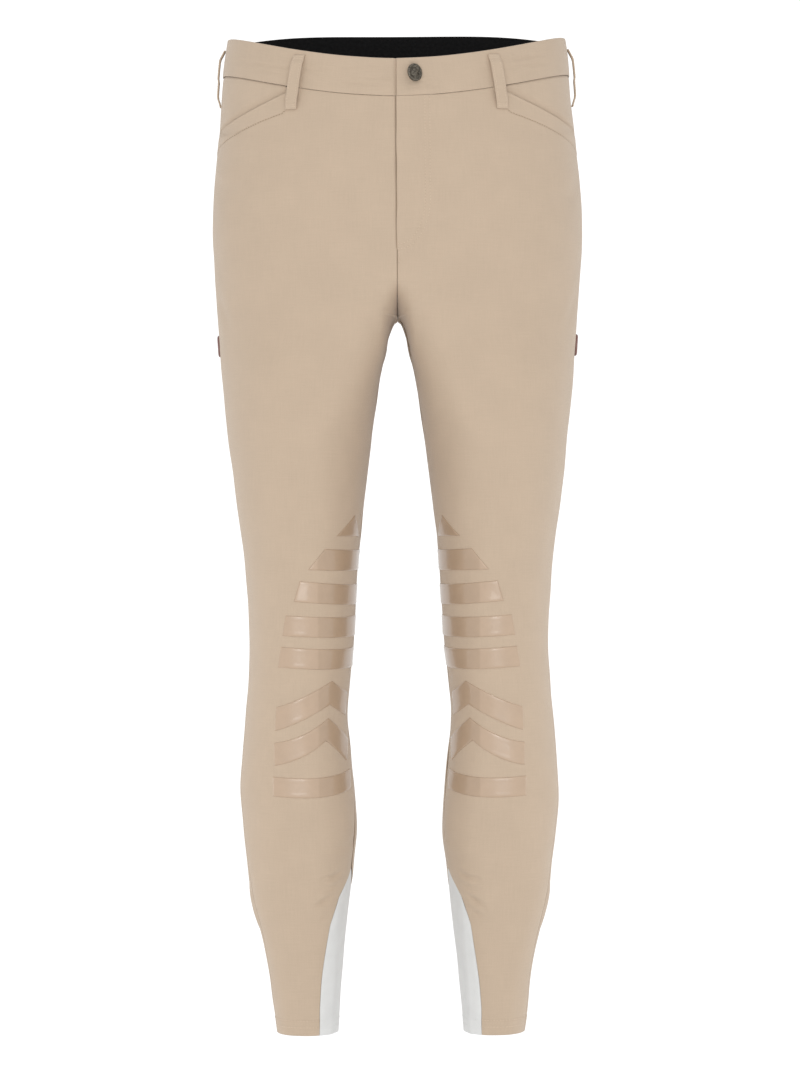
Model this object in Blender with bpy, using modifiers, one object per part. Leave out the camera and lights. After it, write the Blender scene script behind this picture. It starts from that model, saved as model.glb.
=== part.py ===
"""Men's riding breeches as worn: hollow stretch cloth with silicone knee grips.

Metres, +Z up.  The front faces -Y and the wearer's left is +X.  The origin lies in the middle of
the waist opening, level with its top edge at the sides.

The cloth follows one surface.  A point of it is found from its height and from how far round the
leg it lies: 0 at the inseam or centre front, 0.5 at the side seam, 1 at the inseam or centre back.
Below the crotch that is a closed ring round one leg, above it half a ring round the hips, and the
crotch is where the one turns into the other.  Every piece is a stretch of this surface between its
seams, moved in or out by the layers that lie there.
"""
import math
from collections import namedtuple
from functools import lru_cache

import bmesh
import bpy
from mathutils import Matrix, Vector

# Cloth and seams
CLOTH = 0.0012            # wall of the body cloth
BAND_OUT = 0.0008         # waistband cloth outside the common surface
BAND_IN = 0.0008          # and inside it
ELASTIC = 0.0011          # inner waistband
GAP = 0.0003              # clearance between neighbouring pieces
UNDERLAY = 0.0011         # cloth that lies behind a panel

# Heights
HEM_Z = -0.9905
CROTCH_Z = -0.2785
CROTCH_RISE = 0.038       # height over which the crotch curve turns upright in front
SEAT_RISE = 0.075         # and behind
ARCH_DEPTH = 0.0395       # depth of the rounded gap under the crotch
THIGH_TOP = -0.340        # away from the crotch the leg's section turns into the hips' from here
HIP_FLOOR = -0.255        # up to here
THIGH_SHARE = 0.08        # and this far round the leg the crotch curve has died out
KNEE_TOP = -0.600
KNEE_FOOT = -0.725
INSET_TOP = -0.8255       # point of the pale ankle inset
INSET_BLUNT = 0.0018      # its cloth stops this far below the point
RIM_FRONT = -0.030        # top edge at centre front, below the sides
RIM_BACK = 0.0175         # top edge at centre back, above the sides
RIM_FALL = 1.9            # power of the width by which it falls from the sides to the front
RIM_CLIMB = 4.0           # and climbs to the back
BAND_HEIGHT = 0.037
LEVEL_Z = -0.180          # rings are level from here down

# Slanted hip pocket
MOUTH_START = 0.096       # where the mouth leaves the waist seam, from the centre plane
MOUTH_LOW = -0.097        # where it meets the side seam
MOUTH_CURVE = 0.25        # 0 looks straight from the front, 1 is straight along the cloth
FACING_LAP = 0.005        # pocket facing behind the front panel
FACING_SINK = 0.0010      # clearance behind the panel, which is flat between its columns
FACING_STEP = 0.0010      # from the mouth's edge to where it starts to rise
FACING_RAMP = 0.018       # and the width over which it comes level with the panels

# Fly
FLY_END = -0.216
FLY_STRIP_END = -0.2015   # the strip behind it stops above the crotch curve
FLY_WIDTH = 0.029         # out to the curved stitch line
FLY_LIFT = 0.0009         # the lapped front stands proud by its facing
FLY_EDGE = 0.012          # width over which that lift fades
FLY_RAMP = 0.030          # and height, above the fly's end
UNDERLAP = 0.033          # reach of the underlap past centre front
STRIP_BACK = 0.010        # reach of the strip to the other side
STRIP_DROP = 0.001        # the strip starts this far below the waist seam
STEP_SHARE = 0.15         # share of the underlap over which the right waistband steps down to it

# Inner waistband
ELASTIC_TOP = 0.0012      # below the rim
ELASTIC_FOOT = 0.0015     # above the waist seam
ELASTIC_PAST = 1.06       # its end lies this many underlaps from centre front

# Belt loops
LOOP_WIDTH = 0.012
LOOP_CLOTH = 0.0018
LOOP_GAP = 0.0032         # room for the belt
LOOP_TOP = 0.005          # below the rim
LOOP_TAIL = 0.0225        # below the waist seam
SIDE_LOOP_TOP = 0.0095    # the same two for the loops on the side seams
SIDE_LOOP_TAIL = 0.029
LOOP_HEAD = 0.094         # a front loop's head, from the centre plane
LOOP_LEAN = 0.008         # a front loop's foot lies this much further out than its head
LOOP_RISE = 0.2           # share of its length over which each end comes up off the band
LOOP_STEP = 0.004         # height over which it steps from the panel up onto the band

# Button
BUTTON_X = 0.0150
BUTTON_DOWN = 0.0160      # below the rim
BUTTON_RADIUS = 0.0087
BUTTON_TILT = math.radians(30)
SHANK_RADIUS = 0.0022
SHANK_LENGTH = 0.0029

# Knee grips
GRIP_SEAT = 0.0007
GRIP_THICK = 0.0008
GRIP_BEND = 1.7           # how much a chevron's outer arm flattens towards its end
SLANT_STEP = 0.008        # a grip has one more row for each such slant of its ends or its point

# Outer thigh tab
TAB_HEIGHT = 0.022
TAB_WIDTH = 0.016
TAB_THICK = 0.0016
TAB_Z = -0.3045

# Mesh density
FRONT_COLUMNS = 13
EDGE_STRIP = 0.009        # last column of a front panel, over the pocket facing
BACK_COLUMNS = 14
BAND_COLUMNS = 24

# Colour, roughness, metallic
CLOTH_LOOK = ((0.58, 0.44, 0.33), 0.85, 0.0)
INSET_LOOK = ((0.66, 0.66, 0.65), 0.8, 0.0)
ELASTIC_LOOK = ((0.010, 0.010, 0.011), 0.8, 0.0)
GRIP_LOOK = ((0.50, 0.36, 0.26), 0.25, 0.0)
METAL_LOOK = ((0.16, 0.15, 0.14), 0.35, 1.0)
TAB_LOOK = ((0.22, 0.12, 0.11), 0.45, 0.0)

# The body of the breeches, one row for each level section, in metres.
# outer, inner: side seam and inseam from the centre plane; front, back: reach before and behind y = 0
Section = namedtuple("Section", "z outer inner front back")
SECTIONS = [
    Section(0.0200, 0.1640, 0.0000, 0.1040, 0.1090),
    Section(0.0000, 0.1678, 0.0000, 0.1062, 0.1110),
    Section(-0.0180, 0.1708, 0.0000, 0.1085, 0.1133),
    Section(-0.0400, 0.1730, 0.0000, 0.1110, 0.1165),
    Section(-0.0700, 0.1752, 0.0000, 0.1135, 0.1215),
    Section(-0.1050, 0.1790, 0.0000, 0.1150, 0.1290),
    Section(-0.1450, 0.1832, 0.0000, 0.1155, 0.1375),
    Section(-0.1850, 0.1850, 0.0000, 0.1145, 0.1420),
    Section(-0.2250, 0.1835, 0.0000, 0.1120, 0.1400),
    Section(-0.2540, 0.1814, 0.0000, 0.1090, 0.1320),
    Section(-0.2785, 0.1795, 0.0000, 0.1055, 0.1220),
    Section(-0.3180, 0.1768, 0.0135, 0.1010, 0.1085),
    Section(-0.3660, 0.1730, 0.0220, 0.0970, 0.0985),
    Section(-0.4140, 0.1675, 0.0285, 0.0930, 0.0910),
    Section(-0.4620, 0.1620, 0.0342, 0.0875, 0.0835),
    Section(-0.5100, 0.1548, 0.0395, 0.0812, 0.0760),
    Section(-0.5580, 0.1510, 0.0427, 0.0755, 0.0695),
    Section(-0.6060, 0.1492, 0.0457, 0.0700, 0.0650),
    Section(-0.6420, 0.1510, 0.0495, 0.0660, 0.0640),
    Section(-0.6720, 0.1536, 0.0516, 0.0625, 0.0665),
    Section(-0.7120, 0.1572, 0.0484, 0.0590, 0.0715),
    Section(-0.7500, 0.1592, 0.0447, 0.0565, 0.0740),
    Section(-0.7900, 0.1565, 0.0428, 0.0530, 0.0710),
    Section(-0.8220, 0.1525, 0.0462, 0.0498, 0.0650),
    Section(-0.8580, 0.1480, 0.0504, 0.0462, 0.0580),
    Section(-0.8940, 0.1388, 0.0545, 0.0425, 0.0510),
    Section(-0.9300, 0.1315, 0.0583, 0.0388, 0.0460),
    Section(-0.9620, 0.1275, 0.0608, 0.0362, 0.0435),
    Section(-0.9905, 0.1238, 0.0630, 0.0348, 0.0438),
]

# Where the seams run round the ring, one row for each height.
# inseam: front panel meets back panel or inset; side: front panel meets back panel
Seam = namedtuple("Seam", "z inseam side")
SEAMS = [
    Seam(0.0000, 0.000, 0.500),
    Seam(-0.3180, 0.000, 0.500),
    Seam(-0.5600, 0.000, 0.485),
    Seam(-0.7100, 0.012, 0.468),
    Seam(-0.7975, 0.044, 0.464),
    Seam(INSET_TOP, 0.036, 0.462),
    Seam(-0.8700, 0.036, 0.458),
    Seam(HEM_Z, 0.036, 0.470),
]

# Edges of the ankle inset at equal steps from its point down to the hem, as shares of the ring.
InsetEdge = namedtuple("InsetEdge", "front back")
INSET_EDGES = [
    InsetEdge(0.036, 0.036),
    InsetEdge(0.107, -0.030),
    InsetEdge(0.143, -0.066),
    InsetEdge(0.159, -0.088),
    InsetEdge(0.174, -0.102),
    InsetEdge(0.181, -0.110),
    InsetEdge(0.181, -0.114),
]

# Knee grips from the top down, in metres.
# top, depth: height of the upper edge at the inner end, and how deep the grip is
# start_*, end_*: distance of the corners from the inseam, round the front of the leg
# rise, peak: height of a chevron's point above its inner end, and where along the grip it lies
# drop: how far the outer end lies below the inner end; sag: how far the middle hangs down
Grip = namedtuple("Grip", "top depth start_top start_bottom end_top end_bottom rise peak drop sag")
GRIPS = [
    Grip(-0.4745, 0.0205, 0.0370, 0.0185, 0.0380, 0.0650, 0.0, 0.5, 0.0, 0.0),
    Grip(-0.5075, 0.0205, -0.0150, -0.0150, 0.0780, 0.0955, 0.0, 0.5, 0.0, 0.0010),
    Grip(-0.5420, 0.0200, -0.0150, -0.0150, 0.1033, 0.1071, 0.0, 0.5, -0.0030, 0.0020),
    Grip(-0.5725, 0.0200, -0.0150, -0.0150, 0.1146, 0.1160, 0.0, 0.5, 0.0, 0.0025),
    Grip(-0.6035, 0.0200, -0.0150, -0.0150, 0.1163, 0.1170, 0.0, 0.5, 0.0, 0.0030),
    Grip(-0.6495, 0.0235, 0.0180, 0.0180, 0.1130, 0.1145, 0.0116, 0.33, 0.0135, 0.0),
    Grip(-0.6960, 0.0225, 0.0150, 0.0240, 0.1165, 0.1180, 0.0215, 0.36, 0.0023, 0.0),
    Grip(-0.7265, 0.0195, 0.0190, 0.0220, 0.1207, 0.1216, 0.0, 0.5, 0.0054, 0.0042),
]


def lerp(a, b, share):
    return a + (b - a) * share


def smooth(share):
    share = min(max(share, 0.0), 1.0)
    return share * share * (3.0 - 2.0 * share)


def table_span(table, z):
    """Rows above and below a height, and how far down between them it lies."""
    z = min(max(z, table[-1].z), table[0].z)
    index = next(i for i in range(1, len(table)) if z >= table[i].z)
    return index, (table[index - 1].z - z) / (table[index - 1].z - table[index].z)


def straight_value(table, z, column):
    index, share = table_span(table, z)
    return lerp(getattr(table[index - 1], column), getattr(table[index], column), share)


def curved_value(table, z, column):
    """Cubic through the table's rows, with each row's slope taken from its neighbours."""
    index, share = table_span(table, z)
    span = table[index - 1].z - table[index].z

    def slope(i):
        low, high = max(i - 1, 0), min(i + 1, len(table) - 1)
        rise = getattr(table[high], column) - getattr(table[low], column)
        return rise / (table[low].z - table[high].z) * span

    start, end = getattr(table[index - 1], column), getattr(table[index], column)
    s2, s3 = share * share, share ** 3
    return ((2 * s3 - 3 * s2 + 1) * start + (s3 - 2 * s2 + share) * slope(index - 1)
            + (3 * s2 - 2 * s3) * end + (s3 - s2) * slope(index))


# A section at any height; core is the middle of the leg, between its inner and its outer half.
Cut = namedtuple("Cut", "z outer inner core front back")


@lru_cache(maxsize=None)
def section(z):
    """The level section at a height; under the crotch the inseams part in a rounded arch."""
    outer, inner, front, back = (curved_value(SECTIONS, z, name) for name in Section._fields[1:])
    core = (outer + inner) / 2.0
    depth = CROTCH_Z - z
    if depth <= 0.0:
        inner = 0.0
    elif depth < ARCH_DEPTH:
        inner = straight_value(SECTIONS, CROTCH_Z - ARCH_DEPTH, "inner") * math.sqrt(depth / ARCH_DEPTH)
    return Cut(z, outer, inner, core, front, back)


# Roundness of the sections: 2 is an ellipse, more is squarer
LEG_POWER = 2.05
CROTCH_POWER = 4.5        # of the leg's inner half, level with the crotch
POWER_SPAN = 0.140        # height below the crotch over which that dies out
FRONT_POWER = 2.4
SEAT_POWER = 2.4
SEAT_DIP = 0.007          # hollow along the centre back seam
SEAT_DIP_WIDTH = 0.030
SEAT_Z = -0.215
SEAT_SPAN = 0.075


def power_of(value, power):
    return math.copysign(abs(value) ** (2.0 / power), value)


def leg_point(share, cut):
    angle = 2.0 * math.pi * share
    middle = (cut.back - cut.front) / 2.0
    power = LEG_POWER
    if math.cos(angle) > 0.0:
        power = lerp(LEG_POWER, CROTCH_POWER, smooth((cut.z - CROTCH_Z + POWER_SPAN) / POWER_SPAN))
    across = power_of(math.cos(angle), power)
    x = cut.core - (cut.core - cut.inner if across > 0.0 else cut.outer - cut.core) * across
    y = middle - (cut.back + cut.front) / 2.0 * power_of(math.sin(angle), power)
    return Vector((x, y, cut.z))


def hip_oval(angle, cut):
    middle = (cut.back - cut.front) / 2.0
    power = FRONT_POWER if math.cos(angle) > 0 else SEAT_POWER
    x = cut.outer * power_of(math.sin(angle), power)
    y = middle - (cut.back + cut.front) / 2.0 * power_of(math.cos(angle), power)
    return x, y


@lru_cache(maxsize=None)
def hip_angle(share):
    """Angle round the hips of the point straight out from the leg ring's point at the crotch."""
    if share > 0.5:
        return math.pi - hip_angle(round(1.0 - share, 9))
    cut = section(CROTCH_Z)
    centre = cut.outer / 2.0
    middle = (cut.back - cut.front) / 2.0
    leg = leg_point(max(share, 0.25), cut)
    low, high = 0.0, math.pi / 2.0
    for _ in range(40):
        angle = (low + high) / 2.0
        x, y = hip_oval(angle, cut)
        turn = (leg.x - centre) * (y - middle) - (leg.y - middle) * (x - centre)
        low, high = (low, angle) if turn > 0.0 else (angle, high)
    if share >= 0.25:
        return low
    near = share / 0.25
    x = hip_oval(low, cut)[0] * near * (1.0 + near) / 2.0
    return math.asin((x / cut.outer) ** (FRONT_POWER / 2.0))


def hip_point(share, cut):
    """Half a ring, from centre front to centre back."""
    x, y = hip_oval(hip_angle(round(share, 9)), cut)
    if share > 0.5:
        level = math.exp(-((cut.z - SEAT_Z) / SEAT_SPAN) ** 2)
        y -= SEAT_DIP * level * math.exp(-(x / SEAT_DIP_WIDTH) ** 2)
    return Vector((x, y, cut.z))


def hip_part(share, z):
    """How much of the section is hips and not leg: a round curve at the crotch, gradual further out."""
    rise = min(max((z - CROTCH_Z) / (CROTCH_RISE if share <= 0.5 else SEAT_RISE), 0.0), 1.0)
    crotch = math.sqrt(1.0 - (1.0 - rise) ** 2)
    thigh = smooth((z - THIGH_TOP) / (HIP_FLOOR - THIGH_TOP))
    return lerp(crotch, thigh, smooth(min(share % 1.0, 1.0 - share % 1.0) / THIGH_SHARE))


def surface(share, z):
    """Point of the wearer's left half of the common surface.

    Past the centre seams it is mirrored, and under the crotch it goes on round the same leg.
    """
    if z <= CROTCH_Z:
        share %= 1.0
    elif not 0.0 <= share <= 1.0:
        point = surface(-share if share < 0.0 else 2.0 - share, z)
        return Vector((-point.x, point.y, point.z))
    cut = section(round(z, 7))
    hip = hip_part(share, z)
    if hip == 0.0:
        return leg_point(share, cut)
    if hip == 1.0:
        return hip_point(share, cut)
    return leg_point(share, cut).lerp(hip_point(share, cut), hip)


def outward(share, z):
    step_round, step_up = 0.003, 0.0006
    along = surface(share + step_round, z) - surface(share - step_round, z)
    up = surface(share, z + step_up) - surface(share, z - step_up)
    return along.cross(up).normalized()


def stride(share, z):
    """Metres round the cloth for each unit of share."""
    step = 0.004
    return (surface(share + step, z) - surface(share - step, z)).length / (2.0 * step)


@lru_cache(maxsize=None)
def share_at(x, z):
    """How far round the front of the hips a point lies that is x from the centre plane."""
    low, high = 0.0, 0.5
    for _ in range(40):
        middle = (low + high) / 2.0
        low, high = (middle, high) if surface(middle, z).x < x else (low, middle)
    return low


@lru_cache(maxsize=None)
def girth(z):
    points = [surface(i / 48.0, z) for i in range(49)]
    return sum((b - a).length for a, b in zip(points, points[1:]))


def place(side, share, z, out=0.0, halved=True):
    """A point of the cloth moved out of the surface, on the left (+1) or right (-1) half."""
    point = surface(share, z) + outward(share, z) * out
    if halved and z > CROTCH_Z - ARCH_DEPTH:
        point.x = max(point.x, GAP / 2.0)
    point.x *= side
    return point


def rim(share):
    """Height of the waist's top edge."""
    cut = section(0.0)
    angle = hip_angle(round(1.0 - abs(1.0 - abs(share)), 9))
    across = hip_oval(angle, cut)[0] / cut.outer
    if angle <= math.pi / 2.0:
        return RIM_FRONT * (1.0 - across ** RIM_FALL)
    return RIM_BACK * (1.0 - across ** RIM_CLIMB)


def waist_seam(share):
    return rim(share) - BAND_HEIGHT


def height(row, share):
    """Rows are named by their height at the side seam; near the waist they follow its tilt."""
    side_seam = waist_seam(0.5)
    follow = min(max((row - LEVEL_Z) / (side_seam - LEVEL_Z), 0.0), 1.0)
    return row + (waist_seam(share) - side_seam) * follow


def mouth_start():
    return share_at(MOUTH_START, waist_seam(0.25))


def mouth_row(share):
    """The pocket mouth's row, from the waist seam to the side seam."""
    z = waist_seam(0.5)
    start, end = surface(mouth_start(), z).x, surface(0.5, z).x
    seen = (surface(share, z).x - start) / (end - start)
    along = (share - mouth_start()) / (0.5 - mouth_start())
    return lerp(z, MOUTH_LOW, lerp(seen, along, MOUTH_CURVE))


def mouth_share(row):
    low, high = mouth_start(), 0.5
    for _ in range(40):
        middle = (low + high) / 2.0
        low, high = (middle, high) if mouth_row(middle) > row else (low, middle)
    return (low + high) / 2.0


def inset_steps():
    count = len(INSET_EDGES) - 1
    return [lerp(INSET_TOP, HEM_Z, i / count) for i in range(count + 1)]


def inset_edge(z, column):
    count = len(INSET_EDGES) - 1
    place_down = min(max((INSET_TOP - z) / (INSET_TOP - HEM_Z) * count, 0.0), count)
    index = min(int(place_down), count - 1)
    above, below = INSET_EDGES[index], INSET_EDGES[index + 1]
    return lerp(getattr(above, column), getattr(below, column), place_down - index)


def front_inner_edge(z):
    return straight_value(SEAMS, z, "inseam") if z >= INSET_TOP else inset_edge(z, "front")


def back_inner_edge(z):
    return straight_value(SEAMS, z, "inseam") if z >= INSET_TOP else inset_edge(z, "back")


def side_edge(z):
    return straight_value(SEAMS, z, "side")


def pocket_rows():
    """Rows that cut the pocket mouth at even steps round the ring."""
    count = 5
    return [mouth_row(lerp(mouth_start(), 0.5, i / count)) for i in range(count + 1)]


def panel_rows():
    """Rings from the waist seam to the hem, close together where the surface turns."""
    pocket = pocket_rows()
    hips = [-0.125, -0.153, -0.179]
    crotch = [CROTCH_Z + SEAT_RISE * (1.0 - math.cos(math.radians(turn)))
              for turn in (90, 72, 54, 38, 24, 12, 0)]
    arch = [CROTCH_Z - ARCH_DEPTH * (i / 4.0) ** 2 for i in range(1, 5)]
    leg, top = [], arch[-1]
    for foot, count in ((KNEE_TOP, 7), (KNEE_FOOT, 6), (INSET_TOP, 3)):
        leg += [lerp(top, foot, i / count) for i in range(1, count + 1)]
        top = foot
    return pocket + hips + crotch + arch + leg[:-1] + inset_steps()


def make_object(name, mesh, look):
    """Give a mesh its object, its own material and its place in the collection."""
    colour, roughness, metallic = look
    material = bpy.data.materials.new(name + "_finish")
    material.use_nodes = True
    shader = material.node_tree.nodes["Principled BSDF"]
    shader.inputs["Base Color"].default_value = (*colour, 1.0)
    shader.inputs["Roughness"].default_value = roughness
    shader.inputs["Metallic"].default_value = metallic
    mesh.materials.append(material)
    mesh.shade_smooth()
    obj = bpy.data.objects.new(name, mesh)
    bpy.data.collections["riding_breeches"].objects.link(obj)
    return obj


def wall(name, outer, inner, look):
    """Closed wall between two grids of points with the same rows and columns."""
    rows, columns = len(outer), len(outer[0])
    bm = bmesh.new()
    layers = [[[bm.verts.new(point) for point in row] for row in grid] for grid in (outer, inner)]
    for layer in layers:
        for i in range(rows - 1):
            for j in range(columns - 1):
                bm.faces.new((layer[i][j], layer[i + 1][j], layer[i + 1][j + 1], layer[i][j + 1]))
    border = [(0, j) for j in range(columns)]
    border += [(i, columns - 1) for i in range(1, rows)]
    border += [(rows - 1, j) for j in range(columns - 2, -1, -1)]
    border += [(i, 0) for i in range(rows - 2, 0, -1)]
    for (i, j), (k, m) in zip(border, border[1:] + border[:1]):
        bm.faces.new((layers[0][i][j], layers[0][k][m], layers[1][k][m], layers[1][i][j]))
    bmesh.ops.recalc_face_normals(bm, faces=bm.faces)
    mesh = bpy.data.meshes.new(name)
    bm.to_mesh(mesh)
    bm.free()
    mesh.set_sharp_from_angle(angle=math.radians(40))
    return make_object(name, mesh, look)


def laid_cloth(name, side, spots, look, halved=True):
    """A wall from rows of spots, each (share, z, outer offset, inner offset)."""
    outer = [[place(side, share, z, out, halved) for share, z, out, _ in row] for row in spots]
    inner = [[place(side, share, z, into, halved) for share, z, _, into in row] for row in spots]
    return wall(name, outer, inner, look)


def fly_lift(side, share, z):
    """The left front laps over the right one, as far as the curved stitch line."""
    if side < 0 or share > 0.5:
        return 0.0
    across = 1.0 - smooth((surface(share, z).x - FLY_WIDTH) / FLY_EDGE)
    down = smooth((z - FLY_END) / FLY_RAMP)
    return FLY_LIFT * across * down


def front_panel(side, label):
    spots = []
    for row in panel_rows():
        level = height(row, 0.5)
        start = front_inner_edge(level)
        if row > MOUTH_LOW:
            end = mouth_share(row)
        else:
            end = side_edge(level) - GAP / 2.0 / stride(0.5, level)
        if level < CROTCH_Z:
            start += GAP / 2.0 / stride(start, level)
        hemmed = end - EDGE_STRIP / stride(end - 0.01, level)
        shares = [lerp(start, hemmed, j / (FRONT_COLUMNS - 1)) for j in range(FRONT_COLUMNS)] + [end]
        line = []
        for share in shares:
            z = height(row, share)
            if row == waist_seam(0.5):
                z -= GAP
            line.append((share, z, fly_lift(side, share, z), -CLOTH))
        spots.append(line)
    laid_cloth("front_" + label, side, spots, CLOTH_LOOK)


def back_panel(side, label):
    spots = []
    for row in panel_rows():
        level = height(row, 0.5)
        start = side_edge(level) + GAP / 2.0 / stride(0.5, level)
        end = 1.0 + back_inner_edge(level)
        if level < CROTCH_Z:
            end -= GAP / 2.0 / stride(end, level)
        line = []
        for j in range(BACK_COLUMNS + 1):
            share = lerp(start, end, j / BACK_COLUMNS)
            z = height(row, share)
            if row == waist_seam(0.5):
                z -= GAP
            line.append((share, z, 0.0, -CLOTH))
        spots.append(line)
    laid_cloth("back_" + label, side, spots, CLOTH_LOOK)


def ankle_inset(side, label):
    columns = 6
    steps = inset_steps()
    spots = []
    for z in [steps[0] - INSET_BLUNT] + steps[1:]:
        gap = GAP / stride(0.0, z)
        start, end = inset_edge(z, "back") + gap / 2.0, inset_edge(z, "front") - gap / 2.0
        spots.append([(lerp(start, end, j / columns), z, 0.0, -CLOTH) for j in range(columns + 1)])
    laid_cloth("ankle_inset_" + label, side, spots, INSET_LOOK)


def pocket_facing(side, label):
    """Lies behind the mouth's edge and comes level with the panels towards the side seam."""
    columns = 5
    behind = -(CLOTH + FACING_SINK)
    rows = pocket_rows()
    spots = []
    for row in rows:
        level = height(row, 0.5)
        mouth = mouth_share(row)
        rate = stride(mouth, level)
        end = 0.5 - GAP / 2.0 / stride(0.5, level)
        step = FACING_STEP / rate
        start = min(mouth + step, end - step)
        shares = [mouth - FACING_LAP / rate] + [lerp(start, end, j / columns) for j in range(columns + 1)]
        line = []
        for share in shares:
            z = height(row, share)
            if row == rows[0]:
                z -= GAP
            sunk = 1.0 - smooth(((share - mouth) * rate - FACING_STEP) / FACING_RAMP)
            line.append((share, z, behind * sunk, behind * sunk - UNDERLAY))
        spots.append(line)
    laid_cloth("pocket_facing_" + label, side, spots, CLOTH_LOOK)


def fly_underlap():
    """The strip behind the fly, on the right front and reaching behind the left one."""
    columns, rows = 4, 7
    out = -(CLOTH + 1.5 * GAP)
    spots = []
    for i in range(rows + 1):
        z = lerp(waist_seam(0.0) - STRIP_DROP, FLY_STRIP_END, i / rows)
        start, end = -share_at(STRIP_BACK, z), share_at(UNDERLAP, z)
        spots.append([(lerp(start, end, j / columns), z, out, out - UNDERLAY) for j in range(columns + 1)])
    laid_cloth("fly_underlap", 1, spots, CLOTH_LOOK, halved=False)


def underlap_share():
    return share_at(UNDERLAP, waist_seam(0.0))


def elastic_end():
    """The inner waistband stops just past the end of the underlap."""
    return ELASTIC_PAST * underlap_share()


def band_shares():
    """Columns of half a waistband, with some at the underlap's middle and end and the elastic's."""
    lap = underlap_share()
    rest = [lerp(elastic_end(), 1.0, j / BAND_COLUMNS) for j in range(BAND_COLUMNS + 1)]
    return [0.0, lap / 2.0, lap] + rest


def band_spots(shares, outs, top=0.0, foot=0.0):
    """Rows of a waistband from its top edge to the waist seam; outs gives each share's offsets."""
    rows = 3
    spots = []
    for i in range(rows + 1):
        line = []
        for share in shares:
            z = lerp(rim(share) - top, waist_seam(share) + foot, i / rows)
            out, into = outs(share)
            line.append((share, z, out, into))
        spots.append(line)
    return spots


def waistband(side, label):
    flat = (BAND_OUT, -BAND_IN)
    if side > 0:
        laid_cloth("waistband_" + label, side, band_spots(band_shares(), lambda share: flat), CLOTH_LOOK)
        return
    lap = BAND_OUT + BAND_IN + GAP
    reach, step_back = underlap_share(), STEP_SHARE * underlap_share()

    def outs(share):
        drop = lap * smooth((step_back - share) / step_back)
        return BAND_OUT - drop, -BAND_IN - drop

    spots = band_spots([-reach, -0.5 * reach, 0.0, step_back] + band_shares()[1:], outs)
    outer = [[place(-1, s, z, out, False) for s, z, out, _ in row] for row in spots]
    inner = [[place(-1, s, z, into, False) for s, z, _, into in row] for row in spots]
    for grid in (outer, inner):
        for row in grid:
            row[-1].x = min(row[-1].x, -GAP / 2.0)
    wall("waistband_" + label, outer, inner, CLOTH_LOOK)


def waistband_elastic():
    """One strip round the inside, from beside the fly on the right to the end of the underlap."""
    out = -(BAND_IN + GAP)
    right = band_shares()[1:]
    left = [s for s in reversed(band_shares()[:-1]) if s >= elastic_end()]
    grids = []
    for offset in (out, out - ELASTIC):
        half = []
        for side, shares in ((-1, right), (1, left)):
            spots = band_spots(shares, lambda share: (offset, offset), ELASTIC_TOP, ELASTIC_FOOT)
            half.append([[place(side, s, z, o, False) for s, z, o, _ in row] for row in spots])
        grids.append([a + b for a, b in zip(*half)])
    wall("waistband_elastic", grids[0], grids[1], ELASTIC_LOOK)


def belt_loop(name, side, head, foot, top=LOOP_TOP, tail=LOOP_TAIL):
    """A flat strip on the band, standing off it between its two sewn ends."""
    steps, columns = 10, 1
    z_head, z_foot = rim(head) - top, waist_seam(foot) - tail
    spots = []
    for i in range(steps + 1):
        along = i / steps
        share = lerp(head, foot, along)
        z = lerp(z_head, z_foot, along)
        over_band = smooth((z - waist_seam(share) + LOOP_STEP) / LOOP_STEP)
        stand = LOOP_GAP * smooth(along / LOOP_RISE) * smooth((1.0 - along) / LOOP_RISE)
        base = GAP + BAND_OUT * over_band + stand
        half = LOOP_WIDTH / 2.0 / stride(share, z)
        spots.append([(share + half * (2.0 * j / columns - 1.0), z, base + LOOP_CLOTH, base)
                      for j in range(columns + 1)])
    laid_cloth(name, side, spots, CLOTH_LOOK, halved=False)


def belt_loops():
    head = share_at(LOOP_HEAD, rim(0.25))
    foot = share_at(LOOP_HEAD + LOOP_LEAN, waist_seam(0.25))
    for side, label in ((1, "left"), (-1, "right")):
        belt_loop("belt_loop_front_" + label, side, head, foot)
        belt_loop("belt_loop_side_" + label, side, 0.5, 0.5, SIDE_LOOP_TOP, SIDE_LOOP_TAIL)
    belt_loop("belt_loop_back", 1, 1.0, 1.0)


def grip_line(grip, along):
    """Height of the grip's upper edge at a share of its length."""
    z = grip.top - grip.drop * along - grip.sag * math.sin(math.pi * along)
    if grip.rise:
        if along < grip.peak:
            z += (grip.rise + grip.drop * along) * along / grip.peak
        else:
            far = (1.0 - along) / (1.0 - grip.peak)
            z += (grip.rise + grip.drop * along) * far ** GRIP_BEND
    return z


def knee_grip(name, side, grip):
    inner_columns, outer_columns = 4, 7
    slant = max(abs(grip.start_bottom - grip.start_top), abs(grip.end_bottom - grip.end_top), grip.rise)
    rows = 1 + int(slant / SLANT_STEP)
    alongs = [lerp(0.0, grip.peak, j / inner_columns) for j in range(inner_columns)]
    alongs += [lerp(grip.peak, 1.0, j / outer_columns) for j in range(outer_columns + 1)]
    spots = []
    for i in range(rows + 1):
        down = i / rows
        start = lerp(grip.start_top, grip.start_bottom, down)
        end = lerp(grip.end_top, grip.end_bottom, down)
        line = []
        for along in alongs:
            z = grip_line(grip, along) - grip.depth * down
            line.append((lerp(start, end, along) / girth(round(z, 4)), z, GRIP_SEAT + GRIP_THICK, GRIP_SEAT))
        spots.append(line)
    laid_cloth(name, side, spots, GRIP_LOOK)


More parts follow.
